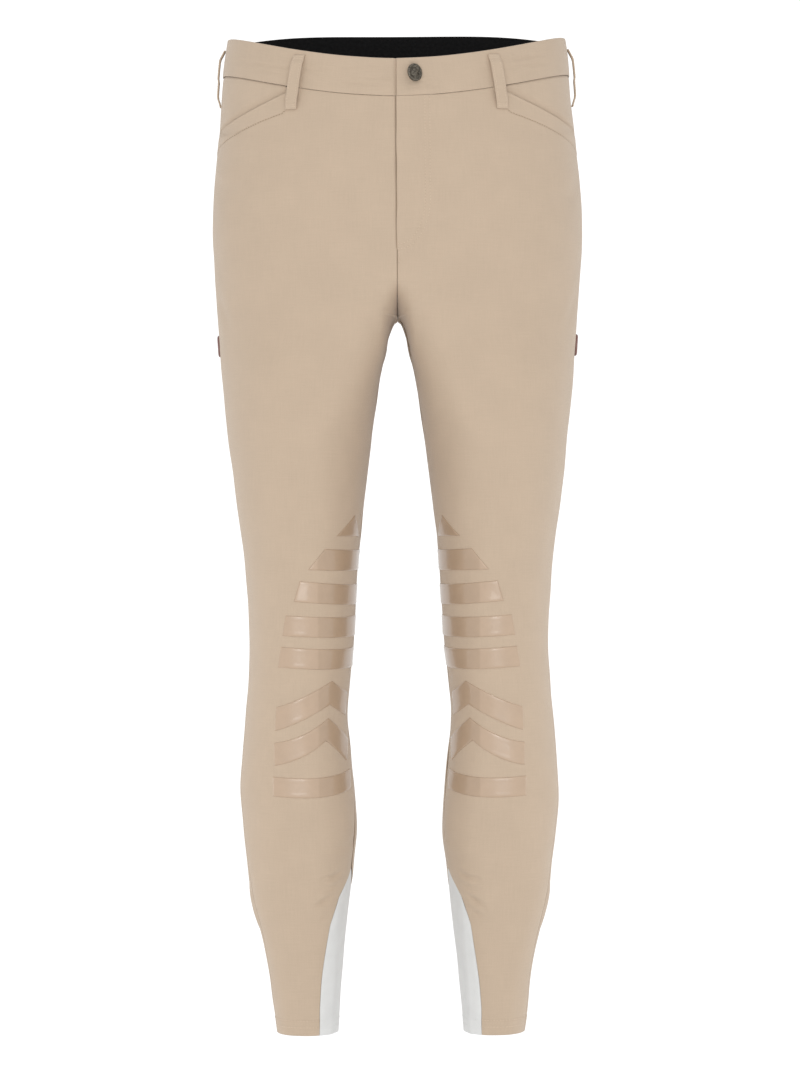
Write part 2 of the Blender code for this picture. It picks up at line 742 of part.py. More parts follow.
def thigh_tab(side, label):
    """A small plate with round corners on the side seam."""
    count, roundness = 4, 0.45
    rate = stride(0.5, TAB_Z)
    spots = []
    for i in range(count + 1):
        line = []
        for j in range(count + 1):
            down, across = 2.0 * i / count - 1.0, 2.0 * j / count - 1.0
            z = TAB_Z - TAB_HEIGHT / 2.0 * down * math.sqrt(1.0 - roundness * across ** 2)
            reach = TAB_WIDTH / 2.0 * across * math.sqrt(1.0 - roundness * down ** 2)
            line.append((0.5 + reach / rate, z, GAP + TAB_THICK, GAP))
        spots.append(line)
    laid_cloth("thigh_tab_" + label, side, spots, TAB_LOOK)


def button():
    """Turned head with a raised rim on a round-ended shank, leaning towards the wearer's left."""
    head, rim_height, thick = BUTTON_RADIUS, 0.0007, 0.0012
    profile = [(0.0, 0.0002), (0.35 * head, 0.0002), (0.66 * head, 0.0)]
    profile += [(head * (0.86 + 0.14 * math.sin(a)), rim_height * math.cos(a))
                for a in (math.radians(d) for d in (-60, -25, 10, 45, 80))]
    profile += [(head, -thick), (0.9 * head, -thick - 0.0006), (0.45 * head, -thick - 0.0008)]
    neck = -thick - 0.0008
    foot = neck - SHANK_LENGTH
    profile += [(SHANK_RADIUS, neck - 0.0003)]
    profile += [(SHANK_RADIUS * math.cos(a), foot - SHANK_RADIUS * math.sin(a))
                for a in (math.radians(d) for d in (0, 30, 60, 90))]
    profile[-1] = (0.0, foot - SHANK_RADIUS)
    mesh = bpy.data.meshes.new("button")
    mesh.from_pydata([(x, 0.0, z) for x, z in profile], [(i, i + 1) for i in range(len(profile) - 1)], [])
    obj = make_object("button", mesh, METAL_LOOK)
    turn = obj.modifiers.new("turn", "SCREW")
    turn.steps = turn.render_steps = 16
    turn.use_merge_vertices = True
    turn.merge_threshold = 0.00005
    share = share_at(BUTTON_X, rim(0.0) - BUTTON_DOWN)
    z = rim(share) - BUTTON_DOWN
    normal = outward(share, z)
    seat = surface(share, z) + normal * (BAND_OUT + GAP + SHANK_RADIUS)
    axis = Matrix.Rotation(BUTTON_TILT, 3, "Z") @ normal
    turned = axis.to_track_quat("Z", "Y").to_matrix().to_4x4()
    obj.matrix_world = Matrix.Translation(seat - axis * foot) @ turned


def clear_scene():
    for obj in list(bpy.data.objects):
        bpy.data.objects.remove(obj, do_unlink=True)
    collection = bpy.data.collections.new("riding_breeches")
    bpy.context.scene.collection.children.link(collection)


def main():
    clear_scene()
    for side, label in ((1, "left"), (-1, "right")):
        front_panel(side, label)
        back_panel(side, label)
        ankle_inset(side, label)
        pocket_facing(side, label)
        waistband(side, label)
        thigh_tab(side, label)
        for number, grip in enumerate(GRIPS, 1):
            knee_grip("grip_{}_{}".format(label, number), side, grip)
    fly_underlap()
    waistband_elastic()
    belt_loops()
    button()


main()
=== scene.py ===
import math

import bmesh
import bpy
import numpy as np
from mathutils import Matrix, Vector


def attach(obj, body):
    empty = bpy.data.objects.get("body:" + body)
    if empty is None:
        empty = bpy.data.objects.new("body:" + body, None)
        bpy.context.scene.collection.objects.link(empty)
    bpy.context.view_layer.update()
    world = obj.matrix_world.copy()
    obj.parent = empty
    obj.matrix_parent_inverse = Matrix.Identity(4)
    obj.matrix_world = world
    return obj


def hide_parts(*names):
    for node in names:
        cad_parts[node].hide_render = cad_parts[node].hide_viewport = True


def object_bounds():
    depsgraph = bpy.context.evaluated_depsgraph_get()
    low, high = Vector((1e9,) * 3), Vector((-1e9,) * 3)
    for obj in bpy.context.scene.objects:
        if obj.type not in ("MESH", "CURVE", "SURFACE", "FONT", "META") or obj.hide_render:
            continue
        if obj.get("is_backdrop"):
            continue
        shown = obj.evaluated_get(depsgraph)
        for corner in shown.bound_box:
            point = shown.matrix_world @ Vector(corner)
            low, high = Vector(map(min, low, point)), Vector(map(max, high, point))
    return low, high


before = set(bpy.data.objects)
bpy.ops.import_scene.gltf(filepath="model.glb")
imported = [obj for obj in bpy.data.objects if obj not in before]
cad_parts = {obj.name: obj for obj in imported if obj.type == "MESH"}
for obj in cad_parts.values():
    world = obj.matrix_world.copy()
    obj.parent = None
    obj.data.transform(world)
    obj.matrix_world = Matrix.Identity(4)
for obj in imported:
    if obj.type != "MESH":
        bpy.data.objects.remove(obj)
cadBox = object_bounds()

bpy.context.scene.view_settings.view_transform = "Standard"

# One surface carries every piece. A point of it is named by its height and its share of the way
# round a leg: 0 at the inseam or centre front, 0.5 at the side seam, 1 back at the inseam or centre back.
shape = {
    "hemZ": -0.9905, "crotchZ": -0.2785, "crotchRise": 0.038, "seatRise": 0.075, "archDepth": 0.0395,
    "thighTop": -0.340, "hipFloor": -0.255, "thighShare": 0.08, "insetTop": -0.8255,
    "rimFront": -0.030, "rimBack": 0.0175, "rimFall": 1.9, "rimClimb": 4.0, "bandHeight": 0.037,
    "levelZ": -0.180, "mouthX": 0.096, "mouthLow": -0.097, "mouthCurve": 0.25,
    "legPower": 2.05, "crotchPower": 4.5, "powerSpan": 0.140, "hipPower": 2.4,
    "seatDip": 0.007, "seatDipWidth": 0.030, "seatZ": -0.215, "seatSpan": 0.075,
    "gap": 0.0003, "seam": 0.00004, "cloth": 0.0012,
}
# a cloth's hidden side has every third row and column of the side that shows
coarse = 3
sides = ((1, "Left"), (-1, "Right"))

# z, outer, inner, front, back
sections = np.array([
    (0.0200, 0.1640, 0.0000, 0.1040, 0.1090),
    (0.0000, 0.1678, 0.0000, 0.1062, 0.1110),
    (-0.0180, 0.1708, 0.0000, 0.1085, 0.1133),
    (-0.0400, 0.1730, 0.0000, 0.1110, 0.1165),
    (-0.0700, 0.1752, 0.0000, 0.1135, 0.1215),
    (-0.1050, 0.1790, 0.0000, 0.1150, 0.1290),
    (-0.1450, 0.1832, 0.0000, 0.1155, 0.1375),
    (-0.1850, 0.1850, 0.0000, 0.1145, 0.1420),
    (-0.2250, 0.1835, 0.0000, 0.1120, 0.1400),
    (-0.2540, 0.1814, 0.0000, 0.1090, 0.1320),
    (-0.2785, 0.1795, 0.0000, 0.1055, 0.1220),
    (-0.3180, 0.1768, 0.0135, 0.1010, 0.1085),
    (-0.3660, 0.1730, 0.0220, 0.0970, 0.0985),
    (-0.4140, 0.1675, 0.0285, 0.0930, 0.0910),
    (-0.4620, 0.1620, 0.0342, 0.0875, 0.0835),
    (-0.5100, 0.1548, 0.0395, 0.0812, 0.0760),
    (-0.5580, 0.1510, 0.0427, 0.0755, 0.0695),
    (-0.6060, 0.1492, 0.0457, 0.0700, 0.0650),
    (-0.6420, 0.1510, 0.0495, 0.0660, 0.0640),
    (-0.6720, 0.1536, 0.0516, 0.0625, 0.0665),
    (-0.7120, 0.1572, 0.0484, 0.0590, 0.0715),
    (-0.7500, 0.1592, 0.0447, 0.0565, 0.0740),
    (-0.7900, 0.1565, 0.0428, 0.0530, 0.0710),
    (-0.8220, 0.1525, 0.0462, 0.0498, 0.0650),
    (-0.8580, 0.1480, 0.0504, 0.0462, 0.0580),
    (-0.8940, 0.1388, 0.0545, 0.0425, 0.0510),
    (-0.9300, 0.1315, 0.0583, 0.0388, 0.0460),
    (-0.9620, 0.1275, 0.0608, 0.0362, 0.0435),
    (-0.9905, 0.1238, 0.0630, 0.0348, 0.0438),
])

# z, inseam, side seam
seams = np.array([
    (0.0000, 0.000, 0.500), (-0.3180, 0.000, 0.500), (-0.5600, 0.000, 0.485), (-0.7100, 0.012, 0.468),
    (-0.7975, 0.044, 0.464), (-0.8255, 0.036, 0.460), (-0.8700, 0.036, 0.442), (-0.9905, 0.036, 0.466),
])

# Front and back edge of the ankle inset at equal steps down to the hem
insetEdges = np.array([
    (0.036, 0.036), (0.107, -0.030), (0.143, -0.066), (0.159, -0.088),
    (0.174, -0.102), (0.181, -0.110), (0.181, -0.114),
])


def smoothStep(x):
    x = np.clip(x, 0.0, 1.0)
    return x * x * (3.0 - 2.0 * x)


def alongTable(table, z, column):
    return np.interp(-z, -table[:, 0], table[:, column])


def curveTable(z, column):
    heights, values = sections[:, 0], sections[:, column]
    z = np.clip(z, heights[-1], heights[0])
    i = np.clip(np.searchsorted(-heights, -z, side="left"), 1, len(heights) - 1)
    span = heights[i - 1] - heights[i]
    s = (heights[i - 1] - z) / span
    low = np.maximum(np.arange(len(heights)) - 1, 0)
    high = np.minimum(np.arange(len(heights)) + 1, len(heights) - 1)
    slope = (values[high] - values[low]) / (heights[low] - heights[high])
    s2, s3 = s * s, s ** 3
    return ((2 * s3 - 3 * s2 + 1) * values[i - 1] + (s3 - 2 * s2 + s) * slope[i - 1] * span
            + (3 * s2 - 2 * s3) * values[i] + (s3 - s2) * slope[i] * span)


def sectionAt(z):
    outer, inner, front, back = (curveTable(z, c) for c in (1, 2, 3, 4))
    core = (outer + inner) / 2.0
    depth = shape["crotchZ"] - z
    low = alongTable(sections, np.array(shape["crotchZ"] - shape["archDepth"]), 2)
    arch = low * np.sqrt(np.clip(depth / shape["archDepth"], 0.0, 1.0))
    inner = np.where(depth < shape["archDepth"], arch, inner)
    return outer, inner, core, front, back


def signedPower(value, power):
    return np.sign(value) * np.abs(value) ** (2.0 / power)


def legXY(share, cut, z):
    outer, inner, core, front, back = cut
    angle = 2.0 * np.pi * share
    high = smoothStep((z - shape["crotchZ"] + shape["powerSpan"]) / shape["powerSpan"])
    squarer = np.where(np.cos(angle) > 0.0, shape["crotchPower"] - shape["legPower"], 0.0)
    power = shape["legPower"] + squarer * high
    across = signedPower(np.cos(angle), power)
    x = core - np.where(across > 0.0, core - inner, outer - core) * across
    y = (back - front) / 2.0 - (back + front) / 2.0 * signedPower(np.sin(angle), power)
    return x, y


def hipXY(angle, cut):
    outer, _, _, front, back = cut
    x = outer * signedPower(np.sin(angle), shape["hipPower"])
    y = (back - front) / 2.0 - (back + front) / 2.0 * signedPower(np.cos(angle), shape["hipPower"])
    return x, y


def bisect(low, high, below):
    # closes in on the place where below turns from true to false
    for _ in range(40):
        middle = (low + high) / 2.0
        under = below(middle)
        low, high = np.where(under, middle, low), np.where(under, high, middle)
    return low, high


def makeHipAngles():
    # the angle round the hips that lies straight out from each share of a leg at the crotch
    cut = sectionAt(np.array(shape["crotchZ"]))
    middle, centre = (cut[4] - cut[3]) / 2.0, cut[0] / 2.0
    shares = np.linspace(0.0, 0.5, 2001)
    x0, y0 = legXY(np.maximum(shares, 0.25), cut, shape["crotchZ"])

    def below(angle):
        x, y = hipXY(angle, cut)
        return (x0 - centre) * (y - middle) - (y0 - middle) * (x - centre) <= 0.0

    outer = bisect(0.0 * shares, 0.0 * shares + np.pi / 2.0, below)[0]
    near = np.clip(shares / 0.25, 0.0, 1.0)
    x = hipXY(outer, cut)[0] * near * (1.0 + near) / 2.0
    inner = np.arcsin(np.clip(x / cut[0], 0.0, 1.0) ** (shape["hipPower"] / 2.0))
    return shares, np.where(shares >= 0.25, outer, inner)


hipShares, hipAngles = makeHipAngles()


def hipAngle(share):
    half = np.interp(np.minimum(share, 1.0 - share), hipShares, hipAngles)
    return np.where(share > 0.5, np.pi - half, half)


def baseSurface(share, z):
    share, z = np.broadcast_arrays(np.asarray(share, float), np.asarray(z, float))
    leg = z <= shape["crotchZ"]
    flip = np.where(~leg & ((share < 0.0) | (share > 1.0)), -1.0, 1.0)
    mirrored = np.where(share < 0.0, -share, np.where(share > 1.0, 2.0 - share, share))
    s = np.where(leg, share % 1.0, mirrored)
    cut = sectionAt(z)
    span = np.where(s > 0.5, shape["seatRise"], shape["crotchRise"])
    rise = np.clip((z - shape["crotchZ"]) / span, 0.0, 1.0)
    crotch = np.sqrt(1.0 - (1.0 - rise) ** 2)
    thigh = smoothStep((z - shape["thighTop"]) / (shape["hipFloor"] - shape["thighTop"]))
    hip = crotch + (thigh - crotch) * smoothStep(np.minimum(s, 1.0 - s) / shape["thighShare"])
    lx, ly = legXY(s, cut, z)
    hx, hy = hipXY(hipAngle(s), cut)
    dip = shape["seatDip"] * np.exp(-((z - shape["seatZ"]) / shape["seatSpan"]) ** 2)
    hy = hy - np.where(s > 0.5, dip * np.exp(-(hx / shape["seatDipWidth"]) ** 2), 0.0)
    return np.stack([(lx + (hx - lx) * hip) * flip, ly + (hy - ly) * hip, z], axis=-1)


def outwardAt(share, z):
    along = baseSurface(share + 0.003, z) - baseSurface(share - 0.003, z)
    up = baseSurface(share, z + 0.0006) - baseSurface(share, z - 0.0006)
    normal = np.cross(along, up)
    return normal / np.linalg.norm(normal, axis=-1, keepdims=True)


def strideAt(share, z):
    step = 0.004
    chord = baseSurface(share + step, z) - baseSurface(share - step, z)
    return np.linalg.norm(chord, axis=-1) / (2.0 * step)


def shareAt(x, z):
    return float(bisect(0.0, 0.5, lambda share: baseSurface(share, z)[0] < x)[0])


def beside(share, z, distance, way):
    # the share that lies this distance along the cloth from another one
    edge = baseSurface(share, z)

    def below(step):
        return np.linalg.norm(baseSurface(share + way * step, z) - edge, axis=-1) < distance

    return share + way * bisect(0.0 * share, 0.0 * share + 0.01, below)[1]


def girthAt(z):
    ring = baseSurface(np.linspace(0.0, 1.0, 49)[None, :], np.atleast_1d(z)[:, None])
    return np.linalg.norm(np.diff(ring, axis=1), axis=-1).sum(axis=1)


def rimZ(share):
    angle = hipAngle(1.0 - np.abs(1.0 - np.abs(share)))
    across = np.clip(np.sin(angle), 0.0, 1.0) ** (2.0 / shape["hipPower"])
    front = shape["rimFront"] * (1.0 - across ** shape["rimFall"])
    return np.where(angle <= np.pi / 2.0, front, shape["rimBack"] * (1.0 - across ** shape["rimClimb"]))


def waistZ(share):
    return rimZ(share) - shape["bandHeight"]


waistRow = float(waistZ(np.array(0.5)))


def heightOf(row, share):
    follow = np.clip((row - shape["levelZ"]) / (waistRow - shape["levelZ"]), 0.0, 1.0)
    return row + (waistZ(share) - waistRow) * follow


mouthStart = shareAt(shape["mouthX"], float(waistZ(np.array(0.25))))


def mouthRow(share):
    first, last = baseSurface(mouthStart, waistRow)[0], baseSurface(0.5, waistRow)[0]
    seen = (baseSurface(share, waistRow)[..., 0] - first) / (last - first)
    along = (share - mouthStart) / (0.5 - mouthStart)
    return waistRow + (shape["mouthLow"] - waistRow) * (seen + (along - seen) * shape["mouthCurve"])


mouthShares = np.linspace(mouthStart, 0.5, 801)
mouthRows = mouthRow(mouthShares)


def mouthShare(row):
    return np.interp(-row, -mouthRows, mouthShares)


def insetEdge(z, column):
    steps = np.linspace(shape["insetTop"], shape["hemZ"], len(insetEdges))
    return np.interp(-z, -steps, insetEdges[:, column])


def innerEdge(z, column):
    return np.where(z >= shape["insetTop"], alongTable(seams, z, 1), insetEdge(z, column))


# Soft folds. Each has its side of the body (0 is both), its path as share and height,
# its depth (a trough if positive, a ridge if negative) and its width.
folds = [
    (0, [(0.105, -0.8285), (0.135, -0.8325), (0.195, -0.8375)], 0.0024, 0.0026),
    (0, [(0.120, -0.8410), (0.150, -0.8440), (0.195, -0.8450)], 0.0016, 0.0024),
    (0, [(0.135, -0.8515), (0.165, -0.8565), (0.205, -0.8625)], 0.0022, 0.0026),
    (1, [(0.150, -0.8680), (0.175, -0.8705), (0.200, -0.8710)], 0.0010, 0.0022),
    (-1, [(0.152, -0.8720), (0.185, -0.8745)], 0.0012, 0.0022),
    (0, [(0.495, -0.8420), (0.508, -0.8620), (0.500, -0.8880)], -0.0016, 0.0045),
    (0, [(0.470, -0.8450), (0.474, -0.8650), (0.478, -0.8860)], 0.0012, 0.0022),
    (0, [(0.960, -0.8380), (0.900, -0.8440), (0.830, -0.8455)], 0.0018, 0.0030),
    (0, [(0.940, -0.8620), (0.880, -0.8700), (0.800, -0.8690)], 0.0015, 0.0028),
    (1, [(0.910, -0.8850), (0.840, -0.8930), (0.760, -0.8900)], 0.0013, 0.0030),
    (-1, [(0.900, -0.8930), (0.820, -0.8990), (0.700, -0.8960)], 0.0013, 0.0030),
    (0, [(0.560, -0.8700), (0.620, -0.8770), (0.700, -0.8760)], 0.0012, 0.0032),
    (1, [(0.540, -0.9200), (0.620, -0.9260), (0.720, -0.9240)], 0.0008, 0.0030),
    (0, [(0.930, -0.5900), (0.820, -0.6010), (0.700, -0.6000), (0.600, -0.5880)], 0.0026, 0.0050),
    (1, [(0.900, -0.6170), (0.800, -0.6250), (0.660, -0.6230)], 0.0021, 0.0042),
    (-1, [(0.880, -0.6140), (0.770, -0.6220), (0.620, -0.6140)], 0.0021, 0.0045),
    (0, [(0.840, -0.6400), (0.740, -0.6440), (0.660, -0.6410)], 0.0015, 0.0038),
    (1, [(0.870, -0.5700), (0.760, -0.5760), (0.680, -0.5740)], 0.0015, 0.0045),
    (-1, [(0.820, -0.5660), (0.720, -0.5740), (0.610, -0.5700)], 0.0015, 0.0045),
    (0, [(0.980, -0.2900), (0.920, -0.3040), (0.830, -0.3110), (0.740, -0.3080)], 0.0030, 0.0070),
    (1, [(0.975, -0.3200), (0.910, -0.3310), (0.840, -0.3330)], 0.0020, 0.0060),
    (-1, [(0.970, -0.3160), (0.900, -0.3270), (0.820, -0.3290)], 0.0020, 0.0060),
    (0, [(0.960, -0.2550), (0.900, -0.2700), (0.820, -0.2760)], 0.0012, 0.0060),
    (0, [(0.030, -0.2780), (0.080, -0.2660), (0.140, -0.2500), (0.200, -0.2380)], 0.0007, 0.0050),
    (1, [(0.030, -0.2960), (0.080, -0.2900), (0.150, -0.2800)], 0.0005, 0.0045),
    (-1, [(0.025, -0.3020), (0.090, -0.2960), (0.160, -0.2830)], 0.0005, 0.0045),
    (1, [(0.002, -0.2400), (0.014, -0.2425), (0.030, -0.2410)], 0.0006, 0.0015),
    (1, [(0.470, -0.1450), (0.420, -0.1600), (0.370, -0.1640)], 0.0009, 0.0075),
    (-1, [(0.475, -0.1380), (0.430, -0.1500), (0.380, -0.1520)], 0.0011, 0.0075),
    (0, [(0.475, -0.2480), (0.445, -0.2650), (0.420, -0.2900)], 0.0009, 0.0080),
    (0, [(0.530, -0.2600), (0.600, -0.2740), (0.680, -0.2780)], 0.0012, 0.0075),
    (1, [(0.620, -0.0900), (0.700, -0.0980), (0.800, -0.0960)], 0.0009, 0.0060),
    (-1, [(0.600, -0.0860), (0.700, -0.0900), (0.780, -0.0870)], 0.0009, 0.0060),
    (1, [(0.020, -0.7900), (0.100, -0.7990), (0.210, -0.7970)], 0.0006, 0.0040),
    (-1, [(0.030, -0.7960), (0.110, -0.8040), (0.220, -0.8020)], 0.0006, 0.0040),
    (0, [(0.560, -0.7900), (0.650, -0.8040), (0.760, -0.8080)], 0.0012, 0.0055),
    (1, [(0.980, -0.4200), (0.900, -0.4320), (0.820, -0.4350)], 0.0009, 0.0065),
    (-1, [(0.975, -0.4400), (0.890, -0.4520), (0.800, -0.4510)], 0.0009, 0.0065),
]

# Creases of the waistband, as folds
bandFolds = [
    (-1, [(0.440, -0.0235), (0.334, -0.0338), (0.268, -0.0395), (0.163, -0.0429)], 0.0007, 0.0017),
    (-1, [(0.356, -0.0385), (0.292, -0.0432)], 0.0007, 0.0014),
    (-1, [(0.187, -0.0378), (0.109, -0.0402), (0.011, -0.0404)], 0.0005, 0.0020),
    (-1, [(0.199, -0.0540), (0.132, -0.0552), (0.011, -0.0558)], 0.0010, 0.0016),
    (-1, [(0.137, -0.0490), (0.084, -0.0511), (0.006, -0.0502)], 0.0009, 0.0014),
    (1, [(0.277, -0.0323), (0.321, -0.0284), (0.381, -0.0233)], 0.0009, 0.0018),
    (1, [(0.285, -0.0371), (0.343, -0.0337), (0.398, -0.0284)], 0.0009, 0.0018),
    (1, [(0.043, -0.0552), (0.090, -0.0537), (0.148, -0.0515)], 0.0010, 0.0016),
    (1, [(0.021, -0.0601), (0.090, -0.0585), (0.160, -0.0558)], 0.0009, 0.0016),
    (0, [(0.620, -0.0180), (0.700, -0.0140), (0.790, -0.0120)], 0.0009, 0.0022),
    (1, [(0.830, -0.0080), (0.900, -0.0060), (0.960, -0.0060)], 0.0008, 0.0020),
    (-1, [(0.840, -0.0120), (0.910, -0.0100), (0.985, -0.0110)], 0.0008, 0.0020),
]
# a fold fades at both ends and raises a low shoulder on either side
foldForm = {"fade": 0.7, "shoulder": 0.45, "shoulderAt": 1.9, "shoulderWidth": 1.1}

def foldDepth(side, share, z, table):
    total = np.zeros(np.broadcast(share, z).shape)
    for owner, path, depth, width in table:
        if owner not in (0, side):
            continue
        path = np.array(path)
        rate = float(strideAt(path[:, 0].mean(), path[:, 1].mean()))
        x, y = share * rate, z + 0.0 * share
        px, py = path[:, 0] * rate, path[:, 1]
        best, where = np.full(total.shape, 1.0), np.zeros(total.shape)
        lengths = np.hypot(np.diff(px), np.diff(py))
        run = 0.0
        for i, length in enumerate(lengths):
            ux, uy = (px[i + 1] - px[i]) / length, (py[i + 1] - py[i]) / length
            t = np.clip((x - px[i]) * ux + (y - py[i]) * uy, 0.0, length)
            gone = np.hypot(x - px[i] - ux * t, y - py[i] - uy * t)
            near = gone < best
            best, where = np.where(near, gone, best), np.where(near, run + t, where)
            run += length
        fade = np.sin(np.pi * np.clip(where / run, 0.0, 1.0)) ** foldForm["fade"]
        aside = (best - foldForm["shoulderAt"] * width) / (foldForm["shoulderWidth"] * width)
        bend = np.exp(-(best / width) ** 2) - foldForm["shoulder"] * np.exp(-aside ** 2)
        total += depth * fade * bend
    return total


# Slow unevenness of stretched cloth: height, waves round, waves up and down, phase
sway = [(0.00035, 5.0, 21.0, 0.3), (0.00028, 8.0, 34.0, 1.9),
        (0.00022, 13.0, 27.0, 4.1), (0.00016, 17.0, 55.0, 2.6)]


def swayAt(side, share, z):
    total = 0.0
    for tall, round_, up, phase in sway:
        first = np.sin(np.pi * round_ * share + up * z + phase + side)
        total = total + tall * first * np.cos(up * 1.7 * z - round_ * share + 2.0 * phase)
    return total


flyCut = {"end": -0.216, "width": 0.029, "lift": 0.0009, "edge": 0.012, "ramp": 0.030,
          "reach": 0.033, "waver": 0.0006, "under": 0.0013, "trough": 0.0018}


def flyLift(side, share, z):
    if side < 0:
        return np.zeros(np.broadcast(share, z).shape)
    across = 1.0 - smoothStep((baseSurface(share, z)[..., 0] - flyCut["width"]) / flyCut["edge"])
    down = smoothStep((z - flyCut["end"]) / flyCut["ramp"])
    return np.where(share > 0.5, 0.0, flyCut["lift"] * across * down)


def clothRelief(side, share, z):
    return flyLift(side, share, z) - foldDepth(side, share, z, folds) + swayAt(side, share, z)


def onCloth(side, share, z, out, halved=True):
    point = baseSurface(share, z) + outwardAt(share, z) * np.asarray(out)[..., None]
    if halved:
        near = z > shape["crotchZ"] - shape["archDepth"]
        point[..., 0] = np.where(near, np.maximum(point[..., 0], shape["seam"] / 2.0), point[..., 0])
    point[..., 0] *= side
    return point


def stops(length, middle, edge=(0.0, 0.0004, 0.0009, 0.0016, 0.0026, 0.0040)):
    # places along a length from 0 to 1, close together at both ends
    edge = np.array(edge)
    count = int(round((length - 2.0 * edge[-1]) / middle))
    while (count + 2 * (len(edge) - 1)) % coarse:
        count += 1
    inside = np.linspace(edge[-1], length - edge[-1], count + 1)[1:-1]
    return np.concatenate([edge, inside, length - edge[::-1]]) / length


def between(start, end, steps):
    # for each pair a row of values from start to end
    return start[:, None] + (end - start)[:, None] * steps[None, :]


def runs(points):
    # distance along a grid from its first column and from its first row
    across = np.linalg.norm(np.diff(points, axis=1, prepend=points[:, :1]), axis=-1)
    down = np.linalg.norm(np.diff(points, axis=0, prepend=points[:1]), axis=-1)
    return np.cumsum(across, axis=1), np.cumsum(down, axis=0)


def fromEdges(points):
    # distance along a grid from its left, right, top and bottom edge
    across, down = runs(points)
    return across, across[:, -1:] - across, down, down[-1:] - down


def turnedEdge(distance, radius=0.0004, dip=0.0002, reach=0.0026):
    # an edge sewn into a seam rolls under and pulls its neighbourhood down a little
    d = np.clip(distance / radius, 0.0, 1.0)
    return -radius * (1.0 - np.sqrt(1.0 - (1.0 - d) ** 2)) - dip * np.exp(-(distance / reach) ** 2)


def smoothNormals(points):
    normal = np.cross(np.gradient(points, axis=1), np.gradient(points, axis=0))
    return normal / np.maximum(np.linalg.norm(normal, axis=-1, keepdims=True), 1e-12)


def rounded(near, radius):
    # from 0 to 1 as a quarter circle
    return np.sqrt(1.0 - (1.0 - np.clip(near / radius, 0.0, 1.0)) ** 2)


def bellAt(x, middle, width):
    return np.exp(-((x - middle) / width) ** 2)


def addObject(name, data):
    obj = bpy.data.objects.new(name, data)
    bpy.context.scene.collection.objects.link(obj)
    return obj


def meshFrom(name, points, faces, uv, material, sewn):
    mesh = bpy.data.meshes.new(name)
    mesh.from_pydata(points.tolist(), [], faces)
    layer = mesh.uv_layers.new(name="clothMetres")
    index = np.empty(len(mesh.loops), dtype=np.int32)
    mesh.loops.foreach_get("vertex_index", index)
    layer.data.foreach_set("uv", uv[index].astype(np.float32).ravel())
    if sewn is not None:
        mark = mesh.attributes.new("sewLine", "FLOAT", "POINT")
        mark.data.foreach_set("value", sewn.astype(np.float32))
    mesh.materials.append(material)
    mesh.shade_smooth()
    mesh.validate()
    return addObject(name, mesh)


def stripUv(outer):
    # metres along and across a strip
    across, down = runs(outer)
    middle = outer.shape[1] // 2
    upright = 0.0 * across - down[:, middle:middle + 1]
    return np.stack([across - across[:, middle:middle + 1], upright], axis=-1)


uvShares = np.linspace(-0.15, 1.15, 521)
uvHeights = np.linspace(shape["hemZ"] - 0.002, 0.020, 405)


def makeArcs():
    ring = baseSurface(uvShares[None, :], uvHeights[:, None])
    return np.cumsum(np.linalg.norm(np.diff(ring, axis=1, prepend=ring[:, :1]), axis=-1), axis=1)


uvArcs = makeArcs()


def arcAt(share, z):
    i = np.clip((z - uvHeights[0]) / (uvHeights[1] - uvHeights[0]), 0.0, len(uvHeights) - 1.001)
    j = np.clip((share - uvShares[0]) / (uvShares[1] - uvShares[0]), 0.0, len(uvShares) - 1.001)
    i0, j0 = i.astype(int), j.astype(int)
    fi, fj = i - i0, j - j0
    low = uvArcs[i0, j0] * (1.0 - fj) + uvArcs[i0, j0 + 1] * fj
    high = uvArcs[i0 + 1, j0] * (1.0 - fj) + uvArcs[i0 + 1, j0 + 1] * fj
    return low * (1.0 - fi) + high * fi


def clothUv(share, z, line):
    # metres round the cloth from one upright line of it, and up that line
    climb = np.diff(baseSurface(line, uvHeights), axis=0)
    height = np.concatenate([[0.0], np.cumsum(np.linalg.norm(climb, axis=-1))])
    around = arcAt(share, z) - arcAt(line + 0.0 * share, z)
    return np.stack([around, np.interp(z, uvHeights, height)], axis=-1)


def shell(name, outer, wall, material, uv=None, sewn=None):
    # a closed cloth: a fine outside, a coarser inside, and a rim that joins them
    rows, columns = outer.shape[:2]
    uv = stripUv(outer) if uv is None else uv
    normal = smoothNormals(outer)
    base = baseNormalSign(outer, normal)
    some = (slice(None, None, coarse), slice(None, None, coarse))
    inner = outer[some] - base * normal[some] * wall
    a = np.arange(rows * columns).reshape(rows, columns)
    b = rows * columns + np.arange(inner.shape[0] * inner.shape[1]).reshape(inner.shape[:2])
    faces = []
    for grid, turned in ((a, base > 0), (b, base < 0)):
        quads = np.stack([grid[:-1, :-1], grid[:-1, 1:], grid[1:, 1:], grid[1:, :-1]], axis=-1)
        quads = quads.reshape(-1, 4)
        faces += (quads if turned else quads[:, ::-1]).tolist()
    for fine, few, turned in ((a[0], b[0], base < 0), (a[-1], b[-1], base > 0),
                              (a[:, 0], b[:, 0], base > 0), (a[:, -1], b[:, -1], base < 0)):
        for i in range(len(few) - 1):
            face = fine[i * coarse:(i + 1) * coarse + 1].tolist() + [int(few[i + 1]), int(few[i])]
            faces.append(face if turned else face[::-1])
    points = np.concatenate([outer.reshape(-1, 3), inner.reshape(-1, 3)])
    uvs = np.concatenate([uv.reshape(-1, 2), uv[some].reshape(-1, 2)])
    if sewn is not None:
        sewn = np.concatenate([sewn.ravel(), sewn[some].ravel()])
    return meshFrom(name, points, faces, uvs, material, sewn)


def baseNormalSign(points, normal):
    # which way the grid's own normals face: out of the body or into it
    row = points.shape[0] // 2
    centre = points[row].mean(axis=0)
    return 1.0 if ((points[row] - centre) * normal[row]).sum() > 0.0 else -1.0


